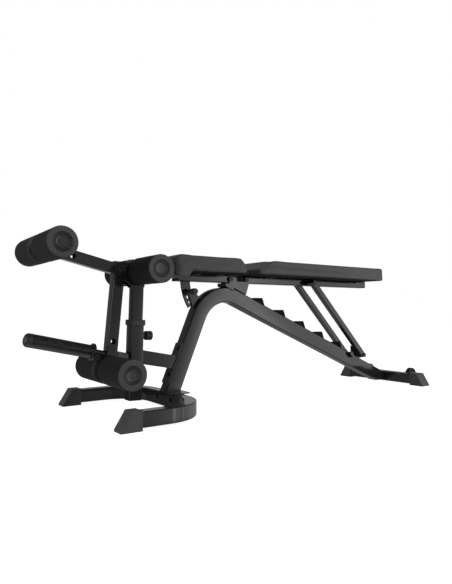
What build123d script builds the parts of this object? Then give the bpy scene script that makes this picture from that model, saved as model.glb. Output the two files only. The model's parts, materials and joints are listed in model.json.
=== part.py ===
from build123d import *
import math
import os

# Adjustable weight bench with a leg developer, built as separate named pieces.
# Units are millimetres.  +Z is up, +X runs from the leg developer to the head end,
# -Y is the side of the seat's lock knob.  Stations are measured along X from a datum near
# the curl rollers, and every piece is shifted at the end so that X = 0 lies midway between
# the weight horn's tip and the transport wheels' back.

os.makedirs("parts", exist_ok=True)

# ---- main frame: one rectangular tube bent through a right angle ----
FRAME_W = 50.0
FRAME_D = 60.0
FRAME_WALL = 2.5
FRAME_CORNER_R = 5.0
FRAME_TILT = 22.8
FRAME_CORNER_X = 662.0
FRAME_CORNER_Z = 507.0
BEND_R_OUTER = 165.0

# ---- front base: a U of flat-sided tube that opens forwards ----
BASE_TUBE_W = 45.0
BASE_TUBE_H = 50.0
BASE_WALL = 2.5
BASE_Z0 = 8.0
BASE_HALF_W = 286.0
BASE_BEND_R = 170.0
BASE_REAR_X = 521.0
BASE_TUBE_X0 = 226.0
FRONT_FOOT_X0 = 180.0
FRONT_FOOT_LEN = 71.0
FRONT_FOOT_SLANT = 36.0
FRONT_FOOT_H = 62.0
FOOT_WALL = 4.0

# ---- rear crossbar ----
REAR_X0 = 1738.0
REAR_TUBE_D = 50.0
REAR_TUBE_H = 48.0
REAR_Z0 = 6.0
REAR_HALF_W = 255.0
REAR_FOOT_LEN = 69.0
REAR_FOOT_SLANT = 33.0
REAR_FOOT_H = 58.0
REAR_TUBE_HALF = 216.0

# ---- transport wheels ----
WHEEL_X = 1826.0
WHEEL_Z = 42.0
WHEEL_Y = 129.0
WHEEL_R = 31.0
WHEEL_W = 22.0
WHEEL_ROUND = 3.0
WHEEL_DISH_R = 22.0
WHEEL_DISH_DEPTH = 4.0
WHEEL_HUB_R = 9.0
AXLE_R = 5.0
AXLE_HALF = 16.0
FORK_T = 3.0
FORK_GAP = 2.0
FORK_Z0 = 18.0
FORK_Z1 = 54.0
FORK_EYE_R = 12.0
RUN_CLEARANCE = 0.05

# ---- foot plate and the leg developer's mounting ----
PLATE_T = 4.0
FOOT_PLATE_X0 = 470.0
FOOT_PLATE_X1 = 548.0
FOOT_PLATE_HALF = 82.0
BOLT_R = 5.0
BOLT_HEAD_R = 9.0
BOLT_HEAD_T = 5.0
NUT_R = 9.0
NUT_T = 6.0
BASE_BOLT_Y = 51.0
BASE_BOLT_Z = 36.0
MOUNT_PLATE_Z0 = 92.0
MOUNT_PLATE_Z1 = 238.0
MOUNT_BOLT_Z = (123.0, 220.0)
BEAM_W = 40.0
BEAM_D = 50.0
BEAM_WALL = 2.5
BEAM_TILT = 11.0
BEAM_Z_AT_SLEEVE = 195.0

# ---- telescopic post ----
POST_X = 353.6
POST_LEAN = 1.63
POST_W = 40.0
POST_WALL = 2.5
POST_Z0 = 110.0
POST_Z1 = 526.0
SLEEVE_W = 48.0
SLEEVE_BORE = 41.0
SLEEVE_Z0 = 43.0
SLEEVE_Z1 = 310.0
COLLAR_W = 57.0
COLLAR_BORE = 40.2
COLLAR_H = 20.0
POST_PIN_Z = 273.0
POST_HOLE_PITCH = 30.0

# ---- pull pins ----
PIN_R = 5.0
HOUSING_R = 9.0
POST_KNOB_R = 17.0
SEAT_KNOB_R = 12.0
KNOB_LEN = 26.0
KNOB_GAP = 3.0
KNOB_RIBS = 10
KNOB_GROOVE_R = 1.8

# ---- lever pivot, knee roller (in the post's own upright frame) ----
PIVOT_DX = -74.1
PIVOT_Z = 509.0
KNEE_Z = 503.7
CLEVIS_R = 24.0
CLEVIS_T = 4.0
CLEVIS_FOOT_Z = 448.0
LEVER_BOLT_R = 8.0
LEVER_HEAD_R = 13.0
LEVER_HEAD_T = 6.0
LEVER_SOCKET_R = 5.0
LEVER_SOCKET_DEPTH = 3.0

# ---- rollers ----
FOAM_R = 48.5
FOAM_BORE_R = 10.0
FOAM_OUTER_Y = 189.5
LOWER_FOAM_R = 51.0
LOWER_FOAM_OUTER_Y = 197.0
KNEE_FOAM_INNER_Y = 27.0
ARM_FOAM_INNER_Y = 22.0
ROLLER_BAR_R = 10.0
ROLLER_BAR_WALL = 2.0
PLUG_R = 29.5
PLUG_T = 6.0
PLUG_GAP = 0.5
PLUG_INSET = 0.5
PLUG_LIP = 4.0
PLUG_DISH = 2.5
PLUG_BOSS_R = 20.5
PLUG_STEM = 17.5
FOAM_ROUND = 5.0

# ---- swinging lever ----
ARM_W = 39.0
ARM_WALL = 2.5
ARM_LEAN = 5.17
ARM_OVER = 22.0
LOWER_ROLLER_Z = 155.6
ARM_UNDER = 25.0
SPARE_HOLE_PITCH = 100.0
CURL_TILT = 13.2
CURL_ROLLER_X = 36.4
CURL_ROLLER_Z = 567.5
CURL_SPARE_PITCH = 92.0
CURL_FRONT = 24.0

# ---- weight horn ----
HORN_TILT = 12.6
HORN_Z_AT_ARM = 206.5
HORN_PEG_R = 12.0
HORN_R = 23.0
HORN_FLANGE_R = 30.0
HORN_FLANGE_FROM = 62.0
HORN_FLANGE_T = 10.0
HORN_TIP = 298.0
HORN_CAP_LEN = 22.0
HORN_CAP_ROUND = 15.0
HORN_CAP_STEM = 18.0
HORN_BORE_R = 20.5
BUMPER_R = 19.0
BUMPER_LEN = 40.0
BUMPER_REAR = 62.0
BUMPER_PEG_END = 55.0

# ---- seat ----
RAIL_W = 50.0
RAIL_H = 30.0
RAIL_WALL = 2.0
RAIL_CORNER_R = 4.0
RAIL_Z0 = 475.0
SEAT_PIVOT_X = 768.0
RAIL_PIVOT_Z = 490.0
SEAT_RAIL_X0 = 530.0
SEAT_RAIL_X1 = 784.0
PAD_HALF_W = 136.0
PAD_TOP = 565.0
PAD_GAP = 0.3
PAD_CORNER_R = 5.5
SEAT_CORNER_R = 24.0
SEAT_PAD_X0 = 449.0
SEAT_PAD_X1 = 769.0
SEAT_LOBE_Z = 483.0
ARC_R = 200.0
ARC_IN = 177.0
ARC_OUT = 218.0
ARC_T = 5.0
ARC_HOLE_R = 6.0
ARC_FIRST = 16.0
ARC_STEP = 6.0
ARC_END = 32.5
ARC_HOLES = 3

# ---- backrest ----
BACK_PIVOT_X = 848.0
BACK_RAIL_X0 = 833.0
BACK_RAIL_X1 = 1604.0
BACK_PAD_X0 = 840.0
BACK_PAD_X1 = 1605.0
BACK_NOSE_Z = 533.0
BACK_CREASE_X = 910.0
RAIL_BOLT_R = 6.0
RAIL_BOLT_HEAD_R = 10.0
BRACKET_IN = 25.5
BRACKET_T = 4.0
BRACKET_X0 = 762.0
BRACKET_X1 = 863.0
BRACKET_FOOT_X0 = 752.0
BRACKET_FOOT_X1 = 849.0
SADDLE_X0 = 744.0
SADDLE_X1 = 785.0
SADDLE_DROP = 12.0
BRACKET_TOP_Z = 501.0
BRACKET_DIP_Z = 481.0
BRACKET_DIP_X0 = 801.0
BRACKET_DIP_X1 = 836.0
BRACKET_EYE_R = 12.0
CAP_HEAD = 3.0
CAP_STEM = 8.0

# ---- strut ----
STRUT_TOP_X = 1210.0
STRUT_TOP_Z = 488.0
STRUT_FOOT_X = 1545.0
STRUT_Y = 53.0
STRUT_W = 25.0
STRUT_WALL = 2.0
STRUT_END = 9.0
FOOT_BAR_R = 10.0
FOOT_BAR_HALF = 71.0
GUSSET_T = 3.0
GUSSET_HOLE_R = 6.0
HINGE_TUBE_R = 10.5
HINGE_PIN_R = 8.0
HINGE_PIN_HALF = 69.0

# ---- ladder of catches on the spine ----
CATCH_X0 = 908.0
CATCH_PITCH = 121.0
CATCH_COUNT = 5
CATCH_TOP_LEN = 42.0
CATCH_LEN = 54.0
CATCH_FACE = 13.0
CATCH_HALF_W = 11.0
STOP_GAP = 3.0

LEAN = math.radians(POST_LEAN)
PIVOT_X = POST_X + PIVOT_DX * math.cos(LEAN) + PIVOT_Z * math.sin(LEAN)
PIVOT_WORLD_Z = PIVOT_Z * math.cos(LEAN) - PIVOT_DX * math.sin(LEAN)
ARM_TAN = math.tan(math.radians(ARM_LEAN))
HORN_ROOT_X = PIVOT_X - ARM_TAN * (PIVOT_WORLD_Z - HORN_Z_AT_ARM)
HORN_COS = math.cos(math.radians(HORN_TILT))
HORN_SIN = math.sin(math.radians(HORN_TILT))
HORN_FACE = (HORN_TIP - HORN_CAP_ROUND) * HORN_COS + (HORN_R - HORN_CAP_ROUND) * HORN_SIN
HORN_FRONT_X = HORN_ROOT_X - HORN_FACE - HORN_CAP_ROUND
ORIGIN_X = 0.5 * (HORN_FRONT_X + WHEEL_X + WHEEL_R)

TILT = math.radians(FRAME_TILT)
UP_DIR = (math.sin(TILT), math.cos(TILT))
SPINE_DIR = (math.cos(TILT), -math.sin(TILT))


# ---------------------------------------------------------------- helpers
def block(x0, x1, y0, y1, z0, z1):
    """A rectangular block given by its limits."""
    centre = Pos((x0 + x1) / 2, (y0 + y1) / 2, (z0 + z1) / 2)
    return centre * Box(x1 - x0, y1 - y0, z1 - z0)


def profile(points, y0, y1):
    """A flat outline in the XZ plane, given thickness from y0 to y1."""
    loop = Polyline(*[(x, 0, z) for x, z in points], close=True)
    face = make_face(loop)
    return Pos(0, y0, 0) * extrude(face, amount=y1 - y0, dir=(0, 1, 0))


def rod_y(x, z, radius, y0, y1):
    """A round rod along Y."""
    return Pos(x, (y0 + y1) / 2, z) * Rot(90, 0, 0) * Cylinder(radius, y1 - y0)


def rod_x(y, z, radius, x0, x1):
    """A round rod along X."""
    return Pos((x0 + x1) / 2, y, z) * Rot(0, 90, 0) * Cylinder(radius, x1 - x0)


def hex_y(x, z, radius, y0, y1):
    """A hexagonal head or nut along Y."""
    head = extrude(RegularPolygon(radius, 6), amount=(y1 - y0) / 2, both=True)
    return Pos(x, (y0 + y1) / 2, z) * Rot(90, 0, 0) * head


def spine_top_z(x):
    """Height of the spine's upper face at a station."""
    return FRAME_CORNER_Z - math.tan(TILT) * (x - FRAME_CORNER_X)


def upright_front_x(z):
    """Station of the upright's front face at a height."""
    return FRAME_CORNER_X - math.tan(TILT) * (FRAME_CORNER_Z - z)


def straight_tube(p0, p1, width, depth, wall, corner):
    """A hollow rectangular tube from p0 to p1 in the XZ plane; width is along Y."""
    run = (p1[0] - p0[0], p1[1] - p0[1])
    length = math.hypot(run[0], run[1])
    plane = Plane(origin=(p0[0], 0, p0[1]), x_dir=(0, 1, 0), z_dir=(run[0], 0, run[1]))
    outer = plane * RectangleRounded(width, depth, corner)
    inner = plane * RectangleRounded(width - 2 * wall, depth - 2 * wall, corner - wall / 2)
    axis = (run[0] / length, 0, run[1] / length)
    return extrude(outer, amount=length, dir=axis) - extrude(inner, amount=length, dir=axis)


def save(part, name):
    """Shift a piece to the footprint's centre and write it."""
    moved = Pos(-ORIGIN_X, 0, 0) * part
    solids = moved.solids()
    shape = solids[0] if len(solids) == 1 else Compound(children=list(solids))
    shape.label = name
    export_step(shape, "parts/" + name + ".step")
    print(name, len(solids), round(sum(s.volume for s in solids) / 1000.0, 1), "cm3")


def lean(part):
    """Place a piece drawn in the post's own upright frame."""
    return Location((POST_X, 0, 0), (0, POST_LEAN, 0)) * part


# ---------------------------------------------------------------- main frame
def frame_path():
    """Centre line of the bent tube."""
    half = FRAME_D / 2
    bend = BEND_R_OUTER - half
    cx = FRAME_CORNER_X + half * SPINE_DIR[0] - half * UP_DIR[0]
    cz = FRAME_CORNER_Z + half * SPINE_DIR[1] - half * UP_DIR[1]
    a = (cx - bend * UP_DIR[0], cz - bend * UP_DIR[1])
    b = (cx + bend * SPINE_DIR[0], cz + bend * SPINE_DIR[1])
    ox = a[0] + bend * SPINE_DIR[0]
    oz = a[1] + bend * SPINE_DIR[1]
    k = bend / math.sqrt(2)
    m = (ox + k * (UP_DIR[0] - SPINE_DIR[0]), oz + k * (UP_DIR[1] - SPINE_DIR[1]))
    down = 420.0
    along = 1100.0
    start = (a[0] - down * UP_DIR[0], a[1] - down * UP_DIR[1])
    end = (b[0] + along * SPINE_DIR[0], b[1] + along * SPINE_DIR[1])
    low = Line((start[0], 0, start[1]), (a[0], 0, a[1]))
    arc = ThreePointArc((a[0], 0, a[1]), (m[0], 0, m[1]), (b[0], 0, b[1]))
    top = Line((b[0], 0, b[1]), (end[0], 0, end[1]))
    return start, Wire([low, arc, top])


def make_main_frame():
    start, path = frame_path()
    plane = Plane(origin=(start[0], 0, start[1]), x_dir=(0, 1, 0), z_dir=(UP_DIR[0], 0, UP_DIR[1]))
    outer = plane * RectangleRounded(FRAME_W, FRAME_D, FRAME_CORNER_R)
    inner_w = FRAME_W - 2 * FRAME_WALL
    inner_d = FRAME_D - 2 * FRAME_WALL
    inner = plane * RectangleRounded(inner_w, inner_d, FRAME_CORNER_R - FRAME_WALL)
    tube = sweep(outer, path=path) - sweep(inner, path=path)
    floor_z = BASE_Z0 + BASE_TUBE_H + PLATE_T
    tube -= block(0, FRAME_CORNER_X + 60, -60, 60, -400, floor_z)
    tube -= block(REAR_X0, REAR_X0 + 900, -60, 60, -400, 400)
    tube -= block(FRAME_CORNER_X + 60, REAR_X0 + 900, -60, 60, -400, REAR_Z0 + 4)
    for z in MOUNT_BOLT_Z:
        tube -= mount_bolt_rod(z, BOLT_R, -10.0, FRAME_D + 10.0)
    return tube


def frame_solid(extra):
    """The bent tube's outside as a solid, widened by extra on both sides."""
    start, path = frame_path()
    plane = Plane(origin=(start[0], 0, start[1]), x_dir=(0, 1, 0), z_dir=(UP_DIR[0], 0, UP_DIR[1]))
    return sweep(plane * Rectangle(FRAME_W + 2 * extra, FRAME_D), path=path)


def mount_bolt_rod(z, radius, d0, d1):
    """A rod square to the upright's front face, from depth d0 to d1 behind that face."""
    x = upright_front_x(z)
    mid = (d0 + d1) / 2
    px = x + mid * SPINE_DIR[0]
    pz = z + mid * SPINE_DIR[1]
    return Pos(px, 0, pz) * Rot(0, 90 + FRAME_TILT, 0) * Cylinder(radius, d1 - d0)


# ---------------------------------------------------------------- front base
def make_front_base():
    r = BASE_BEND_R - BASE_TUBE_W / 2
    y = BASE_HALF_W - BASE_TUBE_W / 2
    x = BASE_REAR_X - BASE_TUBE_W / 2
    z = BASE_Z0 + BASE_TUBE_H / 2
    k = r / math.sqrt(2)
    bx = x - r
    by = y - r
    legs = [
        Line((BASE_TUBE_X0, -y, z), (bx, -y, z)),
        ThreePointArc((bx, -y, z), (bx + k, -by - k, z), (x, -by, z)),
        Line((x, -by, z), (x, by, z)),
        ThreePointArc((x, by, z), (bx + k, by + k, z), (bx, y, z)),
        Line((bx, y, z), (BASE_TUBE_X0, y, z)),
    ]
    path = Wire(legs)
    plane = Plane(origin=(BASE_TUBE_X0, -y, z), x_dir=(0, 1, 0), z_dir=(1, 0, 0))
    outer = plane * RectangleRounded(BASE_TUBE_W, BASE_TUBE_H, 4)
    inner = plane * RectangleRounded(BASE_TUBE_W - 2 * BASE_WALL, BASE_TUBE_H - 2 * BASE_WALL, 2)
    tube = sweep(outer, path=path) - sweep(inner, path=path)
    for s in (-1, 1):
        tube -= rod_x(s * BASE_BOLT_Y, BASE_BOLT_Z, BOLT_R, 400, 600)
    return tube


def make_front_foot(side):
    """A rubber shoe with a slanted toe over the end of a base leg."""
    y = side * (BASE_HALF_W - BASE_TUBE_W / 2)
    half = BASE_TUBE_W / 2 + FOOT_WALL
    x0 = FRONT_FOOT_X0
    x1 = x0 + FRONT_FOOT_LEN
    outline = [(x0, 0), (x1, 0), (x1, FRONT_FOOT_H), (x0 + FRONT_FOOT_SLANT, FRONT_FOOT_H), (x0, 5)]
    shoe = profile(outline, y - half, y + half)
    shoe = fillet(shoe.edges().filter_by(Axis.Z).group_by(Axis.X)[0], 2)
    hw = BASE_TUBE_W / 2
    return shoe - block(BASE_TUBE_X0, x1 + 1, y - hw, y + hw, BASE_Z0, BASE_Z0 + BASE_TUBE_H)


# ---------------------------------------------------------------- rear crossbar
def make_rear_crossbar():
    z = REAR_Z0 + REAR_TUBE_H / 2
    plane = Plane(origin=(REAR_X0 + REAR_TUBE_D / 2, -REAR_TUBE_HALF, z), x_dir=(1, 0, 0), z_dir=(0, 1, 0))
    outer = plane * RectangleRounded(REAR_TUBE_D, REAR_TUBE_H, 4)
    inner = plane * RectangleRounded(REAR_TUBE_D - 5, REAR_TUBE_H - 5, 2)
    return extrude(outer, 2 * REAR_TUBE_HALF) - extrude(inner, 2 * REAR_TUBE_HALF)


def make_rear_foot(side):
    """A rubber shoe with a slanted end over the crossbar's end."""
    y0 = REAR_HALF_W - REAR_FOOT_LEN
    outline = [
        (y0, 0),
        (REAR_HALF_W, 0),
        (REAR_HALF_W, 5),
        (REAR_HALF_W - REAR_FOOT_SLANT, REAR_FOOT_H),
        (y0, REAR_FOOT_H),
    ]
    x0 = REAR_X0 - FOOT_WALL
    x1 = REAR_X0 + REAR_TUBE_D + FOOT_WALL
    face = make_face(Polyline(*[(x0, side * y, z) for y, z in outline], close=True))
    shoe = extrude(face, amount=x1 - x0, dir=(1, 0, 0))
    a = min(side * (y0 - 1), side * REAR_TUBE_HALF)
    b = max(side * (y0 - 1), side * REAR_TUBE_HALF)
    return shoe - block(REAR_X0, REAR_X0 + REAR_TUBE_D, a, b, REAR_Z0, REAR_Z0 + REAR_TUBE_H)


def make_wheel(side):
    """A transport wheel with a raised hub and a dished web."""
    half = WHEEL_W / 2
    y = side * WHEEL_Y
    wheel = rod_y(WHEEL_X, WHEEL_Z, WHEEL_R, y - half, y + half)
    wheel = fillet(wheel.edges().filter_by(GeomType.CIRCLE), WHEEL_ROUND)
    for s in (-1, 1):
        a = y + s * (half - WHEEL_DISH_DEPTH)
        b = y + s * (half + 1)
        dish = rod_y(WHEEL_X, WHEEL_Z, WHEEL_DISH_R, min(a, b), max(a, b))
        hub = rod_y(WHEEL_X, WHEEL_Z, WHEEL_HUB_R, min(a, b), max(a, b))
        wheel -= dish - hub
    return wheel - rod_y(WHEEL_X, WHEEL_Z, AXLE_R + RUN_CLEARANCE, y - WHEEL_W, y + WHEEL_W)


def make_wheel_brackets():
    """Two forks, each two cheeks on a base plate behind the crossbar."""
    forks = []
    x0 = REAR_X0 + REAR_TUBE_D
    for side in (-1, 1):
        y = side * WHEEL_Y
        fork = block(x0, x0 + FORK_T, y - AXLE_HALF, y + AXLE_HALF, FORK_Z0, FORK_Z1)
        eye_low = WHEEL_Z - FORK_EYE_R
        for s in (-1, 1):
            a = y + s * (WHEEL_W / 2 + FORK_GAP)
            b = y + s * (WHEEL_W / 2 + FORK_GAP + FORK_T)
            outline = [(x0, FORK_Z0), (x0, FORK_Z1), (WHEEL_X, FORK_Z1), (WHEEL_X, eye_low)]
            cheek = profile(outline, min(a, b), max(a, b))
            cheek += rod_y(WHEEL_X, WHEEL_Z, FORK_EYE_R, min(a, b), max(a, b))
            fork += cheek
        fork -= rod_y(WHEEL_X, WHEEL_Z, AXLE_R, y - WHEEL_W, y + WHEEL_W)
        forks.append(fork)
    return Compound(children=[s for f in forks for s in f.solids()])


def make_wheel_axles():
    """Two bolts, one through each fork."""
    pins = []
    for side in (-1, 1):
        y = side * WHEEL_Y
        end = AXLE_HALF + BOLT_HEAD_T
        pin = rod_y(WHEEL_X, WHEEL_Z, AXLE_R, y - AXLE_HALF, y + AXLE_HALF)
        pin += hex_y(WHEEL_X, WHEEL_Z, NUT_R, y - end, y - AXLE_HALF)
        pin += hex_y(WHEEL_X, WHEEL_Z, NUT_R, y + AXLE_HALF, y + end)
        pins += pin.solids()
    return Compound(children=pins)


# ---------------------------------------------------------------- plates and bolts of the frame
def make_foot_plate():
    z0 = BASE_Z0 + BASE_TUBE_H
    half = FOOT_PLATE_HALF
    plate = block(FOOT_PLATE_X0, FOOT_PLATE_X1, -half, half, z0, z0 + PLATE_T)
    return fillet(plate.edges().filter_by(Axis.Z), 8)


def base_bolt(y):
    """A round-headed bolt through the base's rear member, nut behind."""
    x0 = BASE_REAR_X - BASE_TUBE_W
    x1 = BASE_REAR_X
    bolt = rod_x(y, BASE_BOLT_Z, BOLT_R, x0, x1)
    bolt += rod_x(y, BASE_BOLT_Z, BOLT_HEAD_R, x0 - BOLT_HEAD_T, x0)
    nut = extrude(RegularPolygon(NUT_R, 6), NUT_T / 2, both=True)
    return bolt + Pos(x1 + NUT_T / 2, y, BASE_BOLT_Z) * Rot(0, 90, 0) * nut


def mount_bolt(z):
    """A round-headed bolt through the mounting plate and the upright, nut behind."""
    bolt = mount_bolt_rod(z, BOLT_R, -PLATE_T, FRAME_D)
    bolt += mount_bolt_rod(z, BOLT_HEAD_R, -PLATE_T - BOLT_HEAD_T, -PLATE_T)
    return bolt + mount_bolt_rod(z, NUT_R, FRAME_D, FRAME_D + NUT_T)


def make_frame_bolts():
    bolts = [base_bolt(-BASE_BOLT_Y), base_bolt(BASE_BOLT_Y)]
    bolts += [mount_bolt(z) for z in MOUNT_BOLT_Z]
    return Compound(children=[s for b in bolts for s in b.solids()])


def make_attachment_plate():
    """The flat plate that clamps the leg developer to the upright's front face."""
    x0 = upright_front_x(MOUNT_PLATE_Z0)
    x1 = upright_front_x(MOUNT_PLATE_Z1)
    dx = PLATE_T * SPINE_DIR[0]
    dz = PLATE_T * SPINE_DIR[1]
    outline = [
        (x0, MOUNT_PLATE_Z0),
        (x1, MOUNT_PLATE_Z1),
        (x1 - dx, MOUNT_PLATE_Z1 - dz),
        (x0 - dx, MOUNT_PLATE_Z0 - dz),
    ]
    plate = profile(outline, -FRAME_W / 2, FRAME_W / 2)
    for z in MOUNT_BOLT_Z:
        plate -= mount_bolt_rod(z, BOLT_R, -PLATE_T - 5, 5)
    return plate


def make_leg_beam():
    """The short tube that carries the post's sleeve in front of the upright."""
    lean_tan = math.tan(LEAN)
    half = BEAM_D / 2 / math.cos(math.radians(BEAM_TILT))
    slope = math.tan(math.radians(BEAM_TILT))
    front_x = POST_X + SLEEVE_W / 2 / math.cos(LEAN)

    def at_sleeve(offset):
        z = BEAM_Z_AT_SLEEVE + offset
        return (front_x + z * lean_tan, z)

    def at_plate(offset):
        x0, z0 = at_sleeve(offset)
        px = upright_front_x(0) - PLATE_T / math.cos(TILT)
        x = (px + math.tan(TILT) * (z0 + slope * x0)) / (1 + math.tan(TILT) * slope)
        return (x, z0 - slope * (x - x0))

    inner = half - BEAM_WALL
    outer = profile([at_sleeve(-half), at_plate(-half), at_plate(half), at_sleeve(half)], -20, 20)
    hole = [at_sleeve(-inner), at_plate(-inner), at_plate(inner), at_sleeve(inner)]
    core = BEAM_W / 2 - BEAM_WALL
    return outer - profile(hole, -core, core)


def make_post_sleeve():
    z0 = SLEEVE_Z0
    plane = Plane(origin=(0, 0, z0))
    h = SLEEVE_Z1 - z0
    tube = extrude(plane * RectangleRounded(SLEEVE_W, SLEEVE_W, 4), h)
    tube -= extrude(plane * RectangleRounded(SLEEVE_BORE, SLEEVE_BORE, 1), h)
    tube -= rod_x(0, POST_PIN_Z, PIN_R + RUN_CLEARANCE, SLEEVE_BORE / 2 - 2, SLEEVE_W)
    return lean(tube)


def make_sleeve_collar():
    plane = Plane(origin=(0, 0, SLEEVE_Z1))
    ring = extrude(plane * RectangleRounded(COLLAR_W, COLLAR_W, 7), COLLAR_H)
    ring = chamfer(ring.edges().group_by(Axis.Z)[-1], 2)
    return lean(ring - extrude(plane * RectangleRounded(COLLAR_BORE, COLLAR_BORE, 1.6), COLLAR_H))


def housing(length):
    """A threaded bush with a hex shoulder, standing on z = 0, bored for the pin."""
    bush = Pos(0, 0, length / 2) * Cylinder(HOUSING_R, length)
    bush += extrude(RegularPolygon(12, 6), 4)
    return bush - Pos(0, 0, length / 2) * Cylinder(PIN_R + RUN_CLEARANCE, length)


def knob(radius, reach, gap):
    """A ribbed pull knob on its pin; z = 0 is the bush's foot, the pin reaches below it."""
    middle = gap + KNOB_LEN / 2
    body = Pos(0, 0, middle) * Cylinder(radius, KNOB_LEN)
    body = fillet(body.edges().filter_by(GeomType.CIRCLE), 3)
    for i in range(KNOB_RIBS):
        a = 2 * math.pi * i / KNOB_RIBS
        groove = Pos(radius * math.cos(a), radius * math.sin(a), middle)
        body -= groove * Cylinder(KNOB_GROOVE_R, KNOB_LEN)
    pin = Pos(0, 0, (gap + 1 - reach) / 2) * Cylinder(PIN_R, gap + 1 + reach)
    return body + pin


POST_PIN_PLACE = Pos(SLEEVE_W / 2, 0, POST_PIN_Z) * Rot(0, 90, 0)
SEAT_PIN_X = SEAT_PIVOT_X - ARC_R * math.cos(math.radians(ARC_FIRST))
SEAT_PIN_Z = RAIL_PIVOT_Z - ARC_R * math.sin(math.radians(ARC_FIRST))
SEAT_EYE_R = 13.0
CHEEK_IN = ARC_T / 2 + 1.5
CHEEK_OUT = CHEEK_IN + 4.0
SEAT_PIN_PLACE = Pos(SEAT_PIN_X, -CHEEK_OUT, SEAT_PIN_Z) * Rot(90, 0, 0)
POST_BUSH_LEN = 12.0
SEAT_BUSH_LEN = 34.0


def make_pin_housings():
    post = lean(POST_PIN_PLACE * housing(POST_BUSH_LEN))
    seat = SEAT_PIN_PLACE * housing(SEAT_BUSH_LEN)
    return Compound(children=list(post.solids()) + list(seat.solids()))


def make_post_pin_knob():
    return lean(POST_PIN_PLACE * knob(POST_KNOB_R, 2.5, POST_BUSH_LEN + KNOB_GAP))


def make_seat_pin_knob():
    return SEAT_PIN_PLACE * knob(SEAT_KNOB_R, 3.5, SEAT_BUSH_LEN + KNOB_GAP)


def make_seat_pin_bracket():
    """Two arms on the front of the arch, either side of the seat's arc plate.

    They stay behind the plate's spare holes and end in an eye for the lock pin.
    """
    cheeks = []
    x = SEAT_PIN_X
    z = SEAT_PIN_Z
    outline = [
        (x - 2, z + SEAT_EYE_R - 1), (x + 26, z + 5), (x + 60, z - 20),
        (x + 28, z - 62), (x + 19, z - 38), (x + 11, z - 14),
    ]
    arch = frame_solid(0)
    for s in (-1, 1):
        a = s * CHEEK_IN
        b = s * CHEEK_OUT
        cheek = profile(outline, min(a, b), max(a, b)) - arch
        cheek += rod_y(x, z, SEAT_EYE_R, min(a, b), max(a, b))
        cheek -= rod_y(x, z, PIN_R + RUN_CLEARANCE, -20, 20)
        cheeks += [max(cheek.solids(), key=lambda q: q.volume)]
    return Compound(children=cheeks)


# ---------------------------------------------------------------- pivot bracket and ladder
def make_pivot_bracket():
    """A cradle on top of the arch: a sloped foot plate and two cheeks that carry both pivots.

    The cheeks dip between the pivots, where the backrest cushion's nose swings down. A saddle
    under the plate's front end fills the gap that the arch leaves as it falls away.
    """
    z = RAIL_PIVOT_Z
    x0 = BRACKET_FOOT_X0
    x1 = BRACKET_FOOT_X1
    half = BRACKET_IN + BRACKET_T
    top = BRACKET_TOP_Z
    foot = [
        (x0, spine_top_z(x0)), (x1, spine_top_z(x1)),
        (x1, spine_top_z(x1) + BRACKET_T), (x0, spine_top_z(x0) + BRACKET_T),
    ]
    outline = [
        (BRACKET_X0, spine_top_z(BRACKET_X0) + BRACKET_T), (BRACKET_X0, z), (SEAT_PIVOT_X, top),
        (BRACKET_DIP_X0 - 9, top), (BRACKET_DIP_X0 - 2, top - 7), (BRACKET_DIP_X0, BRACKET_DIP_Z),
        (BRACKET_DIP_X1, BRACKET_DIP_Z), (BACK_PIVOT_X, top), (BRACKET_X1 - 5, top),
        (BRACKET_X1, top - 26), (x1, spine_top_z(x1) + BRACKET_T),
    ]
    plate_top = spine_top_z(x0) + BRACKET_T
    saddle = [
        (SADDLE_X0, plate_top - SADDLE_DROP), (SADDLE_X0, plate_top), (x0, plate_top),
        (SADDLE_X1, spine_top_z(SADDLE_X1) + 1), (SADDLE_X1, spine_top_z(SADDLE_X1) - SADDLE_DROP),
    ]
    bracket = profile(foot, -half, half) + (profile(saddle, -half, half) - frame_solid(0))
    for s in (-1, 1):
        a = s * BRACKET_IN
        b = s * half
        lo = min(a, b)
        hi = max(a, b)
        bracket += profile(outline, lo, hi)
        bracket += rod_y(SEAT_PIVOT_X, z, BRACKET_EYE_R, lo, hi)
        bracket += rod_y(BACK_PIVOT_X, z, BRACKET_EYE_R, lo, hi)
    for x in (SEAT_PIVOT_X, BACK_PIVOT_X):
        bracket -= rod_y(x, z, RAIL_BOLT_R, -2 * half, 2 * half)
    return bracket


def make_rail_pivot_bolts():
    bolts = []
    face = BRACKET_IN + BRACKET_T
    for x in (SEAT_PIVOT_X, BACK_PIVOT_X):
        bolt = rod_y(x, RAIL_PIVOT_Z, RAIL_BOLT_R, -face, face)
        bolt += rod_y(x, RAIL_PIVOT_Z, RAIL_BOLT_HEAD_R, -face - BOLT_HEAD_T, -face)
        bolt += hex_y(x, RAIL_PIVOT_Z, RAIL_BOLT_HEAD_R, face, face + NUT_T)
        bolts += bolt.solids()
    return Compound(children=bolts)


def catch_block(x):
    """One catch: an upstanding front face, a level top and a steep back."""
    foot_z = spine_top_z(x)
    x1 = x + CATCH_TOP_LEN
    x2 = x + CATCH_LEN
    top = foot_z + CATCH_FACE
    outline = [(x, foot_z), (x, top), (x1, top), (x2, spine_top_z(x2) + 6), (x2, spine_top_z(x2))]
    return profile(outline, -CATCH_HALF_W, CATCH_HALF_W)


def strut_foot_z():
    """Height of the strut's foot bar resting just clear of the spine."""
    lift = (FOOT_BAR_R + 0.5) / math.cos(TILT)
    return spine_top_z(STRUT_FOOT_X) + lift


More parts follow.
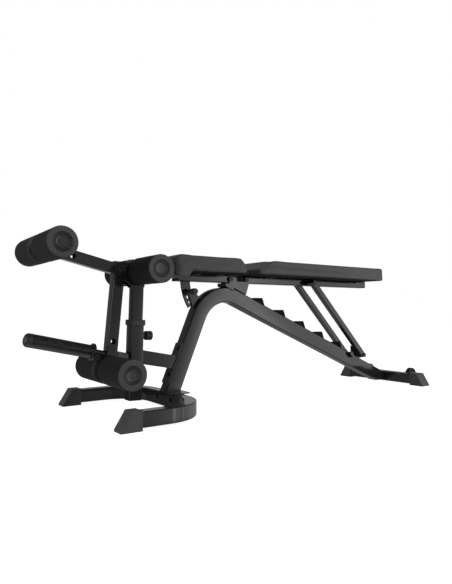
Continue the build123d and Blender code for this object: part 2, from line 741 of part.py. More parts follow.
def make_catch_ladder():
    blocks = [catch_block(CATCH_X0 + CATCH_PITCH * i) for i in range(CATCH_COUNT)]
    x = STRUT_FOOT_X + FOOT_BAR_R / math.cos(TILT) + STOP_GAP
    outline = [(x, spine_top_z(x)), (x, spine_top_z(x) + 14), (x + 22, spine_top_z(x + 22))]
    blocks.append(profile(outline, -CATCH_HALF_W, CATCH_HALF_W))
    return Compound(children=[s for b in blocks for s in b.solids()])


# ---------------------------------------------------------------- post and clevis
def make_leg_post():
    plane = Plane(origin=(0, 0, POST_Z0))
    h = POST_Z1 - POST_Z0
    tube = extrude(plane * RectangleRounded(POST_W, POST_W, 3), h)
    inner = POST_W - 2 * POST_WALL
    tube -= extrude(plane * RectangleRounded(inner, inner, 1), h - 4)
    for i in range(6):
        tube -= rod_x(0, POST_PIN_Z - 90 + POST_HOLE_PITCH * i, PIN_R + 0.5, POST_W / 2 - 5, POST_W)
    tube -= rod_y(0, KNEE_Z, ROLLER_BAR_R + RUN_CLEARANCE, -60, 60)
    return lean(tube)


def make_clevis_plates():
    """Two cheeks from the post's top to the lever's pivot."""
    cheeks = []
    half = POST_W / 2
    outline = [
        (PIVOT_DX + 4, PIVOT_Z + CLEVIS_R), (half, PIVOT_Z + CLEVIS_R), (half, CLEVIS_FOOT_Z),
        (-half + 2, CLEVIS_FOOT_Z - 4), (PIVOT_DX - 16, PIVOT_Z - 17),
    ]
    for s in (-1, 1):
        a = s * half
        b = s * (half + CLEVIS_T)
        lo = min(a, b)
        hi = max(a, b)
        cheek = profile(outline, lo, hi)
        cheek += rod_y(PIVOT_DX, PIVOT_Z, CLEVIS_R, lo, hi)
        cheek -= rod_y(PIVOT_DX, PIVOT_Z, LEVER_BOLT_R, -60, 60)
        cheek -= rod_y(0, KNEE_Z, ROLLER_BAR_R + RUN_CLEARANCE, -60, 60)
        cheeks += lean(cheek).solids()
    return Compound(children=cheeks)


def make_lever_pivot_bolt():
    face = POST_W / 2 + CLEVIS_T
    bolt = rod_y(PIVOT_DX, PIVOT_Z, LEVER_BOLT_R, -face, face)
    tip = -face - LEVER_HEAD_T
    head = rod_y(PIVOT_DX, PIVOT_Z, LEVER_HEAD_R, tip, -face)
    head = fillet(head.edges().group_by(Axis.Y)[0], LEVER_HEAD_T / 2)
    bolt += head - hex_y(PIVOT_DX, PIVOT_Z, LEVER_SOCKET_R, tip - 1, tip + LEVER_SOCKET_DEPTH)
    return lean(bolt + hex_y(PIVOT_DX, PIVOT_Z, LEVER_HEAD_R, face, face + LEVER_HEAD_T + 2))


# ---------------------------------------------------------------- rollers
def make_foam(x, z, radius, inner_y, outer_y, side):
    """A foam cylinder with rounded rims, recessed outside for its end plug."""
    a = side * inner_y
    b = side * outer_y
    foam = rod_y(x, z, radius, min(a, b), max(a, b))
    foam = fillet(foam.edges().filter_by(GeomType.CIRCLE), FOAM_ROUND)
    c = side * (outer_y - PLUG_INSET - PLUG_T - 1)
    foam -= rod_y(x, z, PLUG_R + PLUG_GAP, min(b, c), max(b, c))
    return foam - rod_y(x, z, FOAM_BORE_R, min(a, b), max(a, b))


def make_roller_bar(x, z, outer_y):
    """The steel bar that both foam rolls sit on; it ends just inside the end plugs."""
    half = outer_y - PLUG_INSET - PLUG_T
    bar = rod_y(x, z, ROLLER_BAR_R, -half, half)
    return bar - rod_y(x, z, ROLLER_BAR_R - ROLLER_BAR_WALL, -half, half)


def make_plug(outer_y):
    """One end plug with its outer face up: a lipped disc, a flat boss and a stem below."""
    top = outer_y - PLUG_INSET
    foot = top - PLUG_T
    plug = Pos(0, 0, (foot + top) / 2) * Cylinder(PLUG_R, PLUG_T)
    dish = Cylinder(PLUG_R - PLUG_LIP, PLUG_DISH) - Cylinder(PLUG_BOSS_R, PLUG_DISH)
    plug -= Pos(0, 0, top - PLUG_DISH / 2) * dish
    return plug + Pos(0, 0, foot - PLUG_STEM / 2) * Cylinder(ROLLER_BAR_R - ROLLER_BAR_WALL, PLUG_STEM)


def make_plugs(x, z, outer_y):
    """The two end plugs of one roller."""
    plug = make_plug(outer_y)
    pair = []
    for turn in (-90, 90):
        pair += (Pos(x, 0, z) * Rot(turn, 0, 0) * plug).solids()
    return Compound(children=pair)


KNEE_PLACE = lean(Pos(0, 0, KNEE_Z))
KNEE_X = KNEE_PLACE.position.X
KNEE_WORLD_Z = KNEE_PLACE.position.Z
LOWER_X = PIVOT_X - ARM_TAN * (PIVOT_WORLD_Z - LOWER_ROLLER_Z)


# ---------------------------------------------------------------- lever
def arm_point(z):
    """Centre of the lever's long arm at a height."""
    return (PIVOT_X - ARM_TAN * (PIVOT_WORLD_Z - z), z)


def curl_point(distance):
    """Point on the curl arm's centre line, measured rearwards from its roller."""
    a = math.radians(CURL_TILT)
    return (CURL_ROLLER_X + distance * math.cos(a), CURL_ROLLER_Z - distance * math.sin(a))


def horn_place(distance):
    """Point on the weight horn's axis, measured forwards from the long arm's centre."""
    x = HORN_ROOT_X - distance * HORN_COS
    z = HORN_Z_AT_ARM + distance * HORN_SIN
    return Pos(x, 0, z) * Rot(0, -90 + HORN_TILT, 0)


def horn_rod(radius, d0, d1):
    """A rod on the weight horn's axis from d0 to d1."""
    return horn_place((d0 + d1) / 2) * Cylinder(radius, d1 - d0)


def make_lever_arm():
    a = math.radians(ARM_LEAN)
    lo = arm_point(LOWER_ROLLER_Z - ARM_UNDER * math.cos(a))
    hi = arm_point(PIVOT_WORLD_Z + ARM_OVER * math.cos(a))
    tube = straight_tube(lo, hi, ARM_W, ARM_W, ARM_WALL, 3)
    tube -= rod_y(PIVOT_X, PIVOT_WORLD_Z, LEVER_BOLT_R + RUN_CLEARANCE, -60, 60)
    for z in (LOWER_ROLLER_Z, LOWER_ROLLER_Z + SPARE_HOLE_PITCH * math.cos(a)):
        x, _ = arm_point(z)
        tube -= rod_y(x, z, ROLLER_BAR_R + RUN_CLEARANCE, -60, 60)
    return tube - horn_rod(HORN_PEG_R, -80, 80)


def make_curl_arm():
    length = (PIVOT_X - CURL_ROLLER_X) / math.cos(math.radians(CURL_TILT))
    tube = straight_tube(curl_point(-CURL_FRONT), curl_point(length), ARM_W, ARM_W, ARM_WALL, 3)
    for d in (0, CURL_SPARE_PITCH):
        x, z = curl_point(d)
        tube -= rod_y(x, z, ROLLER_BAR_R + RUN_CLEARANCE, -60, 60)
    half = ARM_W / 2 / math.cos(math.radians(ARM_LEAN))
    x0, z0 = arm_point(100)
    x1, z1 = arm_point(800)
    keep_off = profile([(x0 - half, z0), (x0 + 500, z0), (x1 + 500, z1), (x1 - half, z1)], -40, 40)
    return tube - keep_off


def tube_cap(point, direction):
    """A square plug closing a lever tube's end; direction points out of the tube."""
    plane = Plane(origin=(point[0], 0, point[1]), x_dir=(0, 1, 0), z_dir=(direction[0], 0, direction[1]))
    head = extrude(plane * RectangleRounded(ARM_W, ARM_W, 3), CAP_HEAD)
    inner = ARM_W - 2 * ARM_WALL
    return head + extrude(plane * RectangleRounded(inner, inner, 3 - ARM_WALL / 2), -CAP_STEM)


def make_lever_tube_caps():
    a = math.radians(ARM_LEAN)
    c = math.radians(CURL_TILT)
    low = arm_point(LOWER_ROLLER_Z - ARM_UNDER * math.cos(a))
    top = arm_point(PIVOT_WORLD_Z + ARM_OVER * math.cos(a))
    caps = [
        tube_cap(low, (-math.sin(a), -math.cos(a))),
        tube_cap(top, (math.sin(a), math.cos(a))),
        tube_cap(curl_point(-CURL_FRONT), (-math.cos(c), math.sin(c))),
    ]
    return Compound(children=[s for q in caps for s in q.solids()])


def make_horn_peg():
    """The bar through the long arm, with the flange that stops the plates."""
    disc = horn_rod(HORN_FLANGE_R, HORN_FLANGE_FROM, HORN_FLANGE_FROM + HORN_FLANGE_T)
    disc = chamfer(disc.edges().filter_by(GeomType.CIRCLE), 1.5)
    return disc + horn_rod(HORN_PEG_R, -BUMPER_PEG_END, HORN_FLANGE_FROM + 1)


def make_horn_tube():
    d0 = HORN_FLANGE_FROM + HORN_FLANGE_T
    d1 = HORN_TIP - HORN_CAP_LEN
    return horn_rod(HORN_R, d0, d1) - horn_rod(HORN_BORE_R, d0, d1)


def make_horn_cap():
    d1 = HORN_TIP - HORN_CAP_LEN
    cap = horn_rod(HORN_R, d1, HORN_TIP)
    rims = cap.edges().filter_by(GeomType.CIRCLE).sort_by(Axis.X)
    cap = fillet(rims[0], HORN_CAP_ROUND)
    return cap + horn_rod(HORN_BORE_R, d1 - HORN_CAP_STEM, d1)


def make_bumper():
    """A rubber sleeve on the peg's rear end that meets the post's sleeve."""
    bumper = horn_rod(BUMPER_R, -BUMPER_REAR, BUMPER_LEN - BUMPER_REAR)
    bumper -= horn_rod(HORN_PEG_R, -BUMPER_PEG_END, 0)
    half = ARM_W / 2 / math.cos(math.radians(ARM_LEAN))
    x0, z0 = arm_point(100)
    x1, z1 = arm_point(300)
    arm = profile([(x0 - 100, z0), (x0 + half, z0), (x1 + half, z1), (x1 - 100, z1)], -40, 40)
    return bumper - arm


# ---------------------------------------------------------------- seat
def make_rail(x0, x1):
    z = RAIL_Z0 + RAIL_H / 2
    return straight_tube((x0, z), (x1, z), RAIL_W, RAIL_H, RAIL_WALL, RAIL_CORNER_R)


def rail_cap(x, sign):
    """A flat plug in a rail's end; sign is +1 when the end faces rearwards."""
    z = RAIL_Z0 + RAIL_H / 2
    plane = Plane(origin=(x, 0, z), x_dir=(0, 1, 0), z_dir=(sign, 0, 0))
    head = extrude(plane * RectangleRounded(RAIL_W, RAIL_H, RAIL_CORNER_R), CAP_HEAD)
    w = RAIL_W - 2 * RAIL_WALL
    h = RAIL_H - 2 * RAIL_WALL
    return head + extrude(plane * RectangleRounded(w, h, RAIL_CORNER_R - RAIL_WALL / 2), -CAP_STEM)


def make_rail_caps(x0, x1):
    """The plugs in both ends of a rail."""
    caps = list(rail_cap(x0, -1).solids()) + list(rail_cap(x1, 1).solids())
    return Compound(children=caps)


def make_seat_rail():
    rail = make_rail(SEAT_RAIL_X0, SEAT_RAIL_X1)
    return rail - rod_y(SEAT_PIVOT_X, RAIL_PIVOT_Z, RAIL_BOLT_R + RUN_CLEARANCE, -60, 60)


def make_seat_pad():
    """The seat cushion, with a roll at its front that hangs below the rail's top."""
    z0 = RAIL_Z0 + RAIL_H + PAD_GAP
    x0 = SEAT_PAD_X0
    x1 = SEAT_PAD_X1
    low = SEAT_LOBE_Z
    front = x0 + 74
    outline = [
        (x0, PAD_TOP - 24), (x0 + 6, PAD_TOP - 12), (x0 + 18, PAD_TOP - 3), (x0 + 33, PAD_TOP),
        (x1 - 26, PAD_TOP), (x1, PAD_TOP - 30), (x1, z0), (front + 2, z0), (front - 6, low + 6),
        (front - 18, low), (x0 + 30, low), (x0 + 10, low + 8), (x0, low + 24),
    ]
    pad = profile(outline, -PAD_HALF_W, PAD_HALF_W)
    ends = pad.edges().filter_by(Axis.Z).group_by(Axis.X)
    pad = fillet(ends[0], SEAT_CORNER_R)
    ends = pad.edges().filter_by(Axis.Z).group_by(Axis.X)
    return fillet(ends[-1], PAD_CORNER_R)


def make_seat_arc_plate():
    """A toothless quadrant under the seat rail, with the lock pin's holes."""
    cx = SEAT_PIVOT_X
    cz = RAIL_PIVOT_Z

    def at(radius, degrees):
        a = math.radians(degrees)
        return (cx - radius * math.cos(a), cz - radius * math.sin(a))

    steps = 14
    top = math.degrees(math.asin((cz - RAIL_Z0) / ARC_OUT))
    spans = [top + (ARC_END - top) * i / steps for i in range(steps + 1)]
    outer = [at(ARC_OUT, q) for q in spans]
    inner_top = math.degrees(math.asin((cz - RAIL_Z0) / ARC_IN))
    inner = [at(ARC_IN, inner_top + (ARC_END - inner_top) * (1 - i / steps)) for i in range(steps + 1)]
    plate = profile(outer + inner, -ARC_T / 2, ARC_T / 2)
    for i in range(ARC_HOLES):
        x, z = at(ARC_R, ARC_FIRST + ARC_STEP * i)
        plate -= rod_y(x, z, ARC_HOLE_R, -10, 10)
    return plate


def pad_tab(x, side):
    """A small plate on a rail's side with a screw head under it."""
    z1 = RAIL_Z0 + RAIL_H
    a = side * RAIL_W / 2
    b = side * (RAIL_W / 2 + 34)
    tab = block(x - 14, x + 14, min(a, b), max(a, b), z1 - 3, z1)
    screw = Pos(x, side * (RAIL_W / 2 + 20), z1 - 5) * Cylinder(7, 4)
    return tab + screw


def make_pad_tabs(stations):
    tabs = []
    for x in stations:
        for side in (-1, 1):
            tabs += pad_tab(x, side).solids()
    return Compound(children=tabs)


# ---------------------------------------------------------------- backrest
def make_back_rail():
    rail = make_rail(BACK_RAIL_X0, BACK_RAIL_X1)
    rail -= rod_y(BACK_PIVOT_X, RAIL_PIVOT_Z, RAIL_BOLT_R + RUN_CLEARANCE, -60, 60)
    return rail - rod_y(STRUT_TOP_X, STRUT_TOP_Z, HINGE_TUBE_R, -60, 60)


def make_back_pad():
    """The backrest cushion, its front sloped away to clear the seat when raised."""
    z0 = RAIL_Z0 + RAIL_H + PAD_GAP
    x0 = BACK_PAD_X0
    x1 = BACK_PAD_X1
    outline = [
        (x0, z0), (x0, BACK_NOSE_Z - 6), (x0 + 8, BACK_NOSE_Z), (x0 + 34, BACK_NOSE_Z + 9),
        (BACK_CREASE_X - 10, PAD_TOP - 6), (BACK_CREASE_X, PAD_TOP), (x1 - 8, PAD_TOP),
        (x1, PAD_TOP - 8), (x1, z0),
    ]
    pad = profile(outline, -PAD_HALF_W, PAD_HALF_W)
    ends = pad.edges().filter_by(Axis.Z).group_by(Axis.X)
    return fillet(ends[0] + ends[-1], PAD_CORNER_R)


def make_strut_hinge_tube():
    """A short tube through the back rail that carries the strut's pin."""
    half = STRUT_Y - STRUT_W / 2 - 1
    tube = rod_y(STRUT_TOP_X, STRUT_TOP_Z, HINGE_TUBE_R, -half, half)
    return tube - rod_y(STRUT_TOP_X, STRUT_TOP_Z, HINGE_PIN_R + RUN_CLEARANCE, -half, half)


# ---------------------------------------------------------------- strut
def strut_axis():
    """Unit vector down the strut from its hinge to its foot."""
    dx = STRUT_FOOT_X - STRUT_TOP_X
    dz = strut_foot_z() - STRUT_TOP_Z
    length = math.hypot(dx, dz)
    return dx / length, dz / length, length


def make_strut_tubes():
    dx, dz, length = strut_axis()
    tubes = []
    a = (STRUT_TOP_X - STRUT_END * dx, STRUT_TOP_Z - STRUT_END * dz)
    b = (STRUT_TOP_X + (length + 4) * dx, STRUT_TOP_Z + (length + 4) * dz)
    for s in (-1, 1):
        tube = Pos(0, s * STRUT_Y, 0) * straight_tube(a, b, STRUT_W, STRUT_W, STRUT_WALL, 3)
        tube -= rod_y(STRUT_TOP_X, STRUT_TOP_Z, HINGE_PIN_R, -90, 90)
        tube -= rod_y(STRUT_FOOT_X, strut_foot_z(), FOOT_BAR_R, -90, 90)
        tubes += [max(tube.solids(), key=lambda q: q.volume)]
    return Compound(children=tubes)


def make_strut_hinge_pin():
    """The pin welded across the strut's two tubes; it turns inside the hinge tube."""
    pin = rod_y(STRUT_TOP_X, STRUT_TOP_Z, HINGE_PIN_R, -HINGE_PIN_HALF, HINGE_PIN_HALF)
    pin += rod_y(STRUT_TOP_X, STRUT_TOP_Z, 11, -HINGE_PIN_HALF, -HINGE_PIN_HALF + 3)
    return pin + rod_y(STRUT_TOP_X, STRUT_TOP_Z, 11, HINGE_PIN_HALF - 3, HINGE_PIN_HALF)


def make_strut_foot_plates():
    """Two gussets on the inner sides of the strut's feet, pierced by the foot bar."""
    fx = STRUT_FOOT_X
    fz = strut_foot_z()
    outline = [
        (fx - 66, fz + 48), (fx - 68, fz + 4), (fx - 52, fz - 12), (fx + 6, fz - 16),
        (fx + 14, fz - 2), (fx - 4, fz + 20),
    ]
    plates = []
    for s in (-1, 1):
        a = s * (STRUT_Y - STRUT_W / 2)
        b = s * (STRUT_Y - STRUT_W / 2 - GUSSET_T)
        plate = profile(outline, min(a, b), max(a, b))
        plate -= rod_y(fx, fz, FOOT_BAR_R, -90, 90)
        plate -= rod_y(fx - 40, fz + 4, GUSSET_HOLE_R, -90, 90)
        plates += plate.solids()
    return Compound(children=plates)


def make_strut_foot_bar():
    bar = rod_y(STRUT_FOOT_X, strut_foot_z(), FOOT_BAR_R, -FOOT_BAR_HALF, FOOT_BAR_HALF)
    return chamfer(bar.edges().filter_by(GeomType.CIRCLE), 1.5)


# ---------------------------------------------------------------- assembly
def build_frame():
    save(make_main_frame(), "main_frame")
    save(make_front_base(), "front_base")
    save(make_front_foot(-1), "front_foot_near")
    save(make_front_foot(1), "front_foot_far")
    save(make_foot_plate(), "foot_plate")
    save(make_frame_bolts(), "frame_bolts")
    save(make_rear_crossbar(), "rear_crossbar")
    save(make_rear_foot(-1), "rear_foot_near")
    save(make_rear_foot(1), "rear_foot_far")
    save(make_wheel_brackets(), "wheel_brackets")
    save(make_wheel_axles(), "wheel_axles")
    save(make_wheel(-1), "wheel_near")
    save(make_wheel(1), "wheel_far")
    save(make_pivot_bracket(), "pivot_bracket")
    save(make_rail_pivot_bolts(), "rail_pivot_bolts")
    save(make_catch_ladder(), "catch_ladder")
    save(make_attachment_plate(), "attachment_plate")
    save(make_leg_beam(), "leg_beam")
    save(make_post_sleeve(), "post_sleeve")
    save(make_sleeve_collar(), "sleeve_collar")
    save(make_pin_housings(), "pin_housings")
    save(make_seat_pin_bracket(), "seat_pin_bracket")
    save(make_post_pin_knob(), "post_pin_knob")
    save(make_seat_pin_knob(), "seat_pin_knob")


def build_leg_developer():
    save(make_leg_post(), "leg_post")
    save(make_clevis_plates(), "clevis_plates")
    save(make_lever_pivot_bolt(), "lever_pivot_bolt")
    save(make_lever_arm(), "lever_arm")
    save(make_curl_arm(), "curl_arm")
    save(make_lever_tube_caps(), "lever_tube_caps")
    save(make_horn_peg(), "horn_peg")
    save(make_horn_tube(), "horn_tube")
    save(make_horn_cap(), "horn_cap")
    save(make_bumper(), "bumper")


def build_rollers():
    rows = [
        ("knee", KNEE_X, KNEE_WORLD_Z, FOAM_R, KNEE_FOAM_INNER_Y, FOAM_OUTER_Y),
        ("lower", LOWER_X, LOWER_ROLLER_Z, LOWER_FOAM_R, ARM_FOAM_INNER_Y, LOWER_FOAM_OUTER_Y),
        ("curl", CURL_ROLLER_X, CURL_ROLLER_Z, FOAM_R, ARM_FOAM_INNER_Y, FOAM_OUTER_Y),
    ]
    for name, x, z, radius, inner_y, outer_y in rows:
        save(make_roller_bar(x, z, outer_y), name + "_roller_bar")
        save(make_plugs(x, z, outer_y), name + "_roller_plugs")
        save(make_foam(x, z, radius, inner_y, outer_y, -1), name + "_foam_near")
        save(make_foam(x, z, radius, inner_y, outer_y, 1), name + "_foam_far")


def build_seat_and_back():
    save(make_seat_rail(), "seat_rail")
    save(make_rail_caps(SEAT_RAIL_X0, SEAT_RAIL_X1), "seat_rail_cap")
    save(make_seat_pad(), "seat_pad")
    save(make_seat_arc_plate(), "seat_arc_plate")
    save(make_pad_tabs((600, 705)), "seat_pad_tabs")
    save(make_back_rail(), "back_rail")
    save(make_rail_caps(BACK_RAIL_X0, BACK_RAIL_X1), "back_rail_cap")
    save(make_back_pad(), "back_pad")
    save(make_pad_tabs((965, 1550)), "back_pad_tabs")
    save(make_strut_hinge_tube(), "strut_hinge_tube")
    save(make_strut_tubes(), "strut_tubes")
    save(make_strut_hinge_pin(), "strut_hinge_pin")
    save(make_strut_foot_plates(), "strut_foot_plates")
    save(make_strut_foot_bar(), "strut_foot_bar")


build_frame()
build_leg_developer()
build_rollers()
build_seat_and_back()
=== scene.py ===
import json
import math
import bmesh
import bpy
from mathutils import Euler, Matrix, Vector, noise
from mathutils.bvhtree import BVHTree


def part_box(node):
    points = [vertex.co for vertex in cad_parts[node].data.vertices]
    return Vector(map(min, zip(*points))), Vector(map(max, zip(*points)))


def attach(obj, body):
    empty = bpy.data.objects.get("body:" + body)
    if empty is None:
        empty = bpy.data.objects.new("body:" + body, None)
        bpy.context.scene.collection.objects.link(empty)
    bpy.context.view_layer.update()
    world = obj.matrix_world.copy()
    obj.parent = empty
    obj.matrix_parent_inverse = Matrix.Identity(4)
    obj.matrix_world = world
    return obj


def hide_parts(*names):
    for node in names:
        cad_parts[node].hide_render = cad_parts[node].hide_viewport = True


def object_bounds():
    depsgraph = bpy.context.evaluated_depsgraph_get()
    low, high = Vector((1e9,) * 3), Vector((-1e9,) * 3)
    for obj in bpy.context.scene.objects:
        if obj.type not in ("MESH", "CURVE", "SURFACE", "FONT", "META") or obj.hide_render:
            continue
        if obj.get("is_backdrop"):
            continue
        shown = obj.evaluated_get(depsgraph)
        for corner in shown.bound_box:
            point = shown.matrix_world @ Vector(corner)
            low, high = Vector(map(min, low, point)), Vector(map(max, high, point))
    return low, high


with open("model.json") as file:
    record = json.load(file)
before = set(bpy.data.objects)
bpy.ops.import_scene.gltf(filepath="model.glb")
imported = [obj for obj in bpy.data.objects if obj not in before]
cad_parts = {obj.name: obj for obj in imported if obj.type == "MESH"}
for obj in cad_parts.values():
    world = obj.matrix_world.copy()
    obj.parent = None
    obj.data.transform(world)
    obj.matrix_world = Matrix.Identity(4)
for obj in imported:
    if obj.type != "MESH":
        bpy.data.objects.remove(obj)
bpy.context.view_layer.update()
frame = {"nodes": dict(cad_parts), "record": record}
NODES = frame["nodes"]
RECORD = frame["record"]
BODY_OF = {n: body for body, names in RECORD["behaviour"]["bodies"].items() for n in names}
MM = 0.001

# ---- camera and light ----
CAMERA_PLACE = (-1.36101, -1.68874, 0.3642)
CAMERA_TURN = (math.radians(92.05), 0.0, math.radians(-35.67))
CAMERA_LENS = 31.35
KEY_POWER = 100
TOP_POWER = 14
FILL_POWER = 28
FLOOR_GLOW = 0.93

# ---- CAD meshes ----
JOIN_DISTANCE = 0.01 * MM
CRISP_ANGLE = 34.0

# ---- cushions ----
PAD_VOXEL = 5 * MM
PAD_SHRINK = 0.8 * MM
PAD_CAP = 2.0 * MM
PAD_OVER = 4.5 * MM
PAD_PRESSURE = 4.0
PAD_FRAMES = 20
PAD_HELD_DEPTH = 30 * MM
PAD_BACKING_REACH = 3 * MM

# ---- foam rolls and their end caps ----
ROLL_SEGMENTS = 96
ROLL_OUTER_ROUND = 4.5 * MM
ROLL_INNER_ROUND = 4.5 * MM
CAP_RADIUS = 29.5 * MM
RECESS_RADIUS = 30.2 * MM
RECESS_DEPTH = 7.4 * MM
RECESS_LIP = 2.2 * MM
ROLL_BORE = 10.05 * MM
CAP_SEGMENTS = 72
CAP_SKIRT = 6.4 * MM
CAP_STEM = 24 * MM
CAP_CRISP_ANGLE = 50.0

# ---- welds ----
BEAD_RADIUS = 2.1 * MM
BEAD_STEP = 1.3 * MM
BEAD_SIDES = 8
SEAM_ANGLE = 0.6
SEAM_REACH = 0.3 * MM
SEAM_CLEARANCE = 80 * MM


# ---------------------------------------------------------------- materials
class NodeKit:
    """Short calls that build an empty node tree."""

    def __init__(self, owner):
        owner.use_nodes = True
        self.tree = owner.node_tree
        self.tree.nodes.clear()

    def add(self, kind):
        return self.tree.nodes.new(kind)

    def link(self, a, b):
        self.tree.links.new(a, b)

    def feed(self, value, socket):
        """Link a socket, or set a plain number."""
        if isinstance(value, (int, float)):
            socket.default_value = value
        else:
            self.link(value, socket)

    def math(self, operation, a, b):
        node = self.add("ShaderNodeMath")
        node.operation = operation
        for socket, value in zip(node.inputs, (a, b)):
            self.feed(value, socket)
        return node.outputs[0]

    def spread(self, value, low_in, high_in, low_out, high_out, smooth=False):
        node = self.add("ShaderNodeMapRange")
        if smooth:
            node.interpolation_type = "SMOOTHSTEP"
        for socket, number in zip(node.inputs[1:5], (low_in, high_in, low_out, high_out)):
            socket.default_value = number
        self.link(value, node.inputs[0])
        return node.outputs[0]

    def between(self, factor, low, high):
        """Number that runs from low to high."""
        node = self.add("ShaderNodeMix")
        for place, value in ((0, factor), (2, low), (3, high)):
            self.link(value, node.inputs[place])
        return node.outputs[0]

    def curve(self, value, points, low, high, scale):
        """Float curve through (position, strength) points, kept in the node over scale."""
        shape = self.add("ShaderNodeFloatCurve")
        line = shape.mapping.curves[0]
        for i, (place, strength) in enumerate(points):
            x = (place - low) / (high - low)
            if i < 2:
                line.points[i].location = (x, strength / scale)
            else:
                line.points.new(x, strength / scale)
        for point in line.points:
            point.handle_type = "VECTOR"
        shape.mapping.update()
        self.link(self.spread(value, low, high, 0.0, 1.0), shape.inputs["Value"])
        return self.math("MULTIPLY", shape.outputs[0], scale)


class Shader(NodeKit):
    """One procedural material, built node by node on object coordinates in metres."""

    def __init__(self, name, roughness, specular=0.5, metallic=0.0):
        self.material = bpy.data.materials.new(name)
        super().__init__(self.material)
        out = self.add("ShaderNodeOutputMaterial")
        self.bsdf = self.add("ShaderNodeBsdfPrincipled")
        self.link(self.bsdf.outputs["BSDF"], out.inputs["Surface"])
        self.bsdf.inputs["Roughness"].default_value = roughness
        self.bsdf.inputs["Specular IOR Level"].default_value = specular
        self.bsdf.inputs["Metallic"].default_value = metallic
        self.coords = self.add("ShaderNodeTexCoord").outputs["Object"]

    def noise(self, scale, detail=3.0, roughness=0.55, distortion=0.0):
        node = self.add("ShaderNodeTexNoise")
        node.inputs["Scale"].default_value = scale
        node.inputs["Detail"].default_value = detail
        node.inputs["Roughness"].default_value = roughness
        node.inputs["Distortion"].default_value = distortion
        self.link(self.coords, node.inputs["Vector"])
        return node.outputs["Fac"]

    def cells(self, scale, feature="F1", randomness=1.0):
        node = self.add("ShaderNodeTexVoronoi")
        node.feature = feature
        node.inputs["Scale"].default_value = scale
        node.inputs["Randomness"].default_value = randomness
        self.link(self.coords, node.inputs["Vector"])
        return node.outputs["Distance"]

    def blend(self, factor, low, high):
        """Colour that runs from low to high; either may be a colour or a socket."""
        node = self.add("ShaderNodeMix")
        node.data_type = "RGBA"
        self.link(factor, node.inputs[0])
        for socket, value in ((node.inputs[6], low), (node.inputs[7], high)):
            if isinstance(value, tuple):
                socket.default_value = (*value, 1.0)
            else:
                self.link(value, socket)
        return node.outputs[2]

    def color(self, socket):
        self.link(socket, self.bsdf.inputs["Base Color"])

    def roughness(self, socket):
        self.link(socket, self.bsdf.inputs["Roughness"])

    def rounded(self, radius):
        node = self.add("ShaderNodeBevel")
        node.samples = 4
        node.inputs["Radius"].default_value = radius
        return node.outputs[0]

    def edge_mask(self, radius):
        """Near 1 on outside and inside edges, 0 on flat faces."""
        geometry = self.add("ShaderNodeNewGeometry")
        dot = self.add("ShaderNodeVectorMath")
        dot.operation = "DOT_PRODUCT"
        self.link(self.rounded(radius), dot.inputs[0])
        self.link(geometry.outputs["Normal"], dot.inputs[1])
        return self.spread(dot.outputs["Value"], 0.80, 0.995, 1.0, 0.0)

    def bump(self, height, strength, distance, normal=None):
        node = self.add("ShaderNodeBump")
        node.inputs["Strength"].default_value = strength
        node.inputs["Distance"].default_value = distance
        self.link(height, node.inputs["Height"])
        if normal is not None:
            self.link(normal, node.inputs["Normal"])
        return node.outputs[0]

    def normal(self, socket):
        self.link(socket, self.bsdf.inputs["Normal"])


def powder_coat():
    """Satin black powder coat: fine orange peel, faint mottling, edges lighter in patches:
    partly worn paint, partly a painted highlight.
    """
    s = Shader("powder_coat", 0.20, 0.5)
    mottle = s.spread(s.noise(9.0, 4.0), 0.35, 0.65, 0.0, 1.0)
    base = s.blend(mottle, (0.015, 0.015, 0.0165), (0.021, 0.021, 0.023))
    speck = s.spread(s.cells(620.0), 0.0, 0.16, 1.0, 0.0)
    base = s.blend(s.math("MULTIPLY", speck, 0.18), base, (0.07, 0.07, 0.072))
    # Lighter edges: partly worn paint, partly a painted highlight along the edges.
    edge = s.edge_mask(1.6 * MM)
    rubbed_and_highlight = s.math("MULTIPLY", edge, s.spread(s.noise(60.0, 3.0), 0.35, 0.7, 0.15, 0.75))
    s.color(s.blend(rubbed_and_highlight, base, (0.060, 0.060, 0.063)))
    s.roughness(s.spread(s.noise(38.0, 5.0, 0.6), 0.3, 0.7, 0.09, 0.15))
    peel = s.bump(s.noise(520.0, 2.0), 0.03, 0.2 * MM, s.rounded(0.9 * MM))
    s.normal(peel)
    return s.material


def gloss_enamel():
    """Glossy black enamel on the round bars and the horn."""
    s = Shader("gloss_enamel", 0.20, 0.45)
    scuff = s.spread(s.noise(45.0, 5.0, 0.65), 0.42, 0.72, 0.0, 1.0)
    s.color(s.blend(scuff, (0.012, 0.012, 0.013), (0.022, 0.022, 0.024)))
    s.roughness(s.spread(s.noise(70.0, 4.0), 0.3, 0.7, 0.16, 0.24))
    s.normal(s.bump(s.noise(260.0, 2.0), 0.015, 0.2 * MM, s.rounded(0.8 * MM)))
    return s.material


def black_oxide():
    """Blackened steel of bolts, pins and the strut's foot bar."""
    s = Shader("black_oxide", 0.38, 0.5, 0.6)
    stain = s.spread(s.noise(120.0, 5.0, 0.65), 0.35, 0.7, 0.0, 1.0)
    base = s.blend(stain, (0.028, 0.028, 0.030), (0.055, 0.054, 0.055))
    # Lighter edges: partly worn steel, partly a painted highlight along the edges.
    s.color(s.blend(s.math("MULTIPLY", s.edge_mask(0.8 * MM), 0.6), base, (0.14, 0.14, 0.14)))
    s.roughness(s.spread(s.noise(200.0, 3.0), 0.3, 0.7, 0.30, 0.46))
    s.normal(s.bump(s.noise(700.0, 2.0), 0.12, 0.15 * MM, s.rounded(0.6 * MM)))
    return s.material


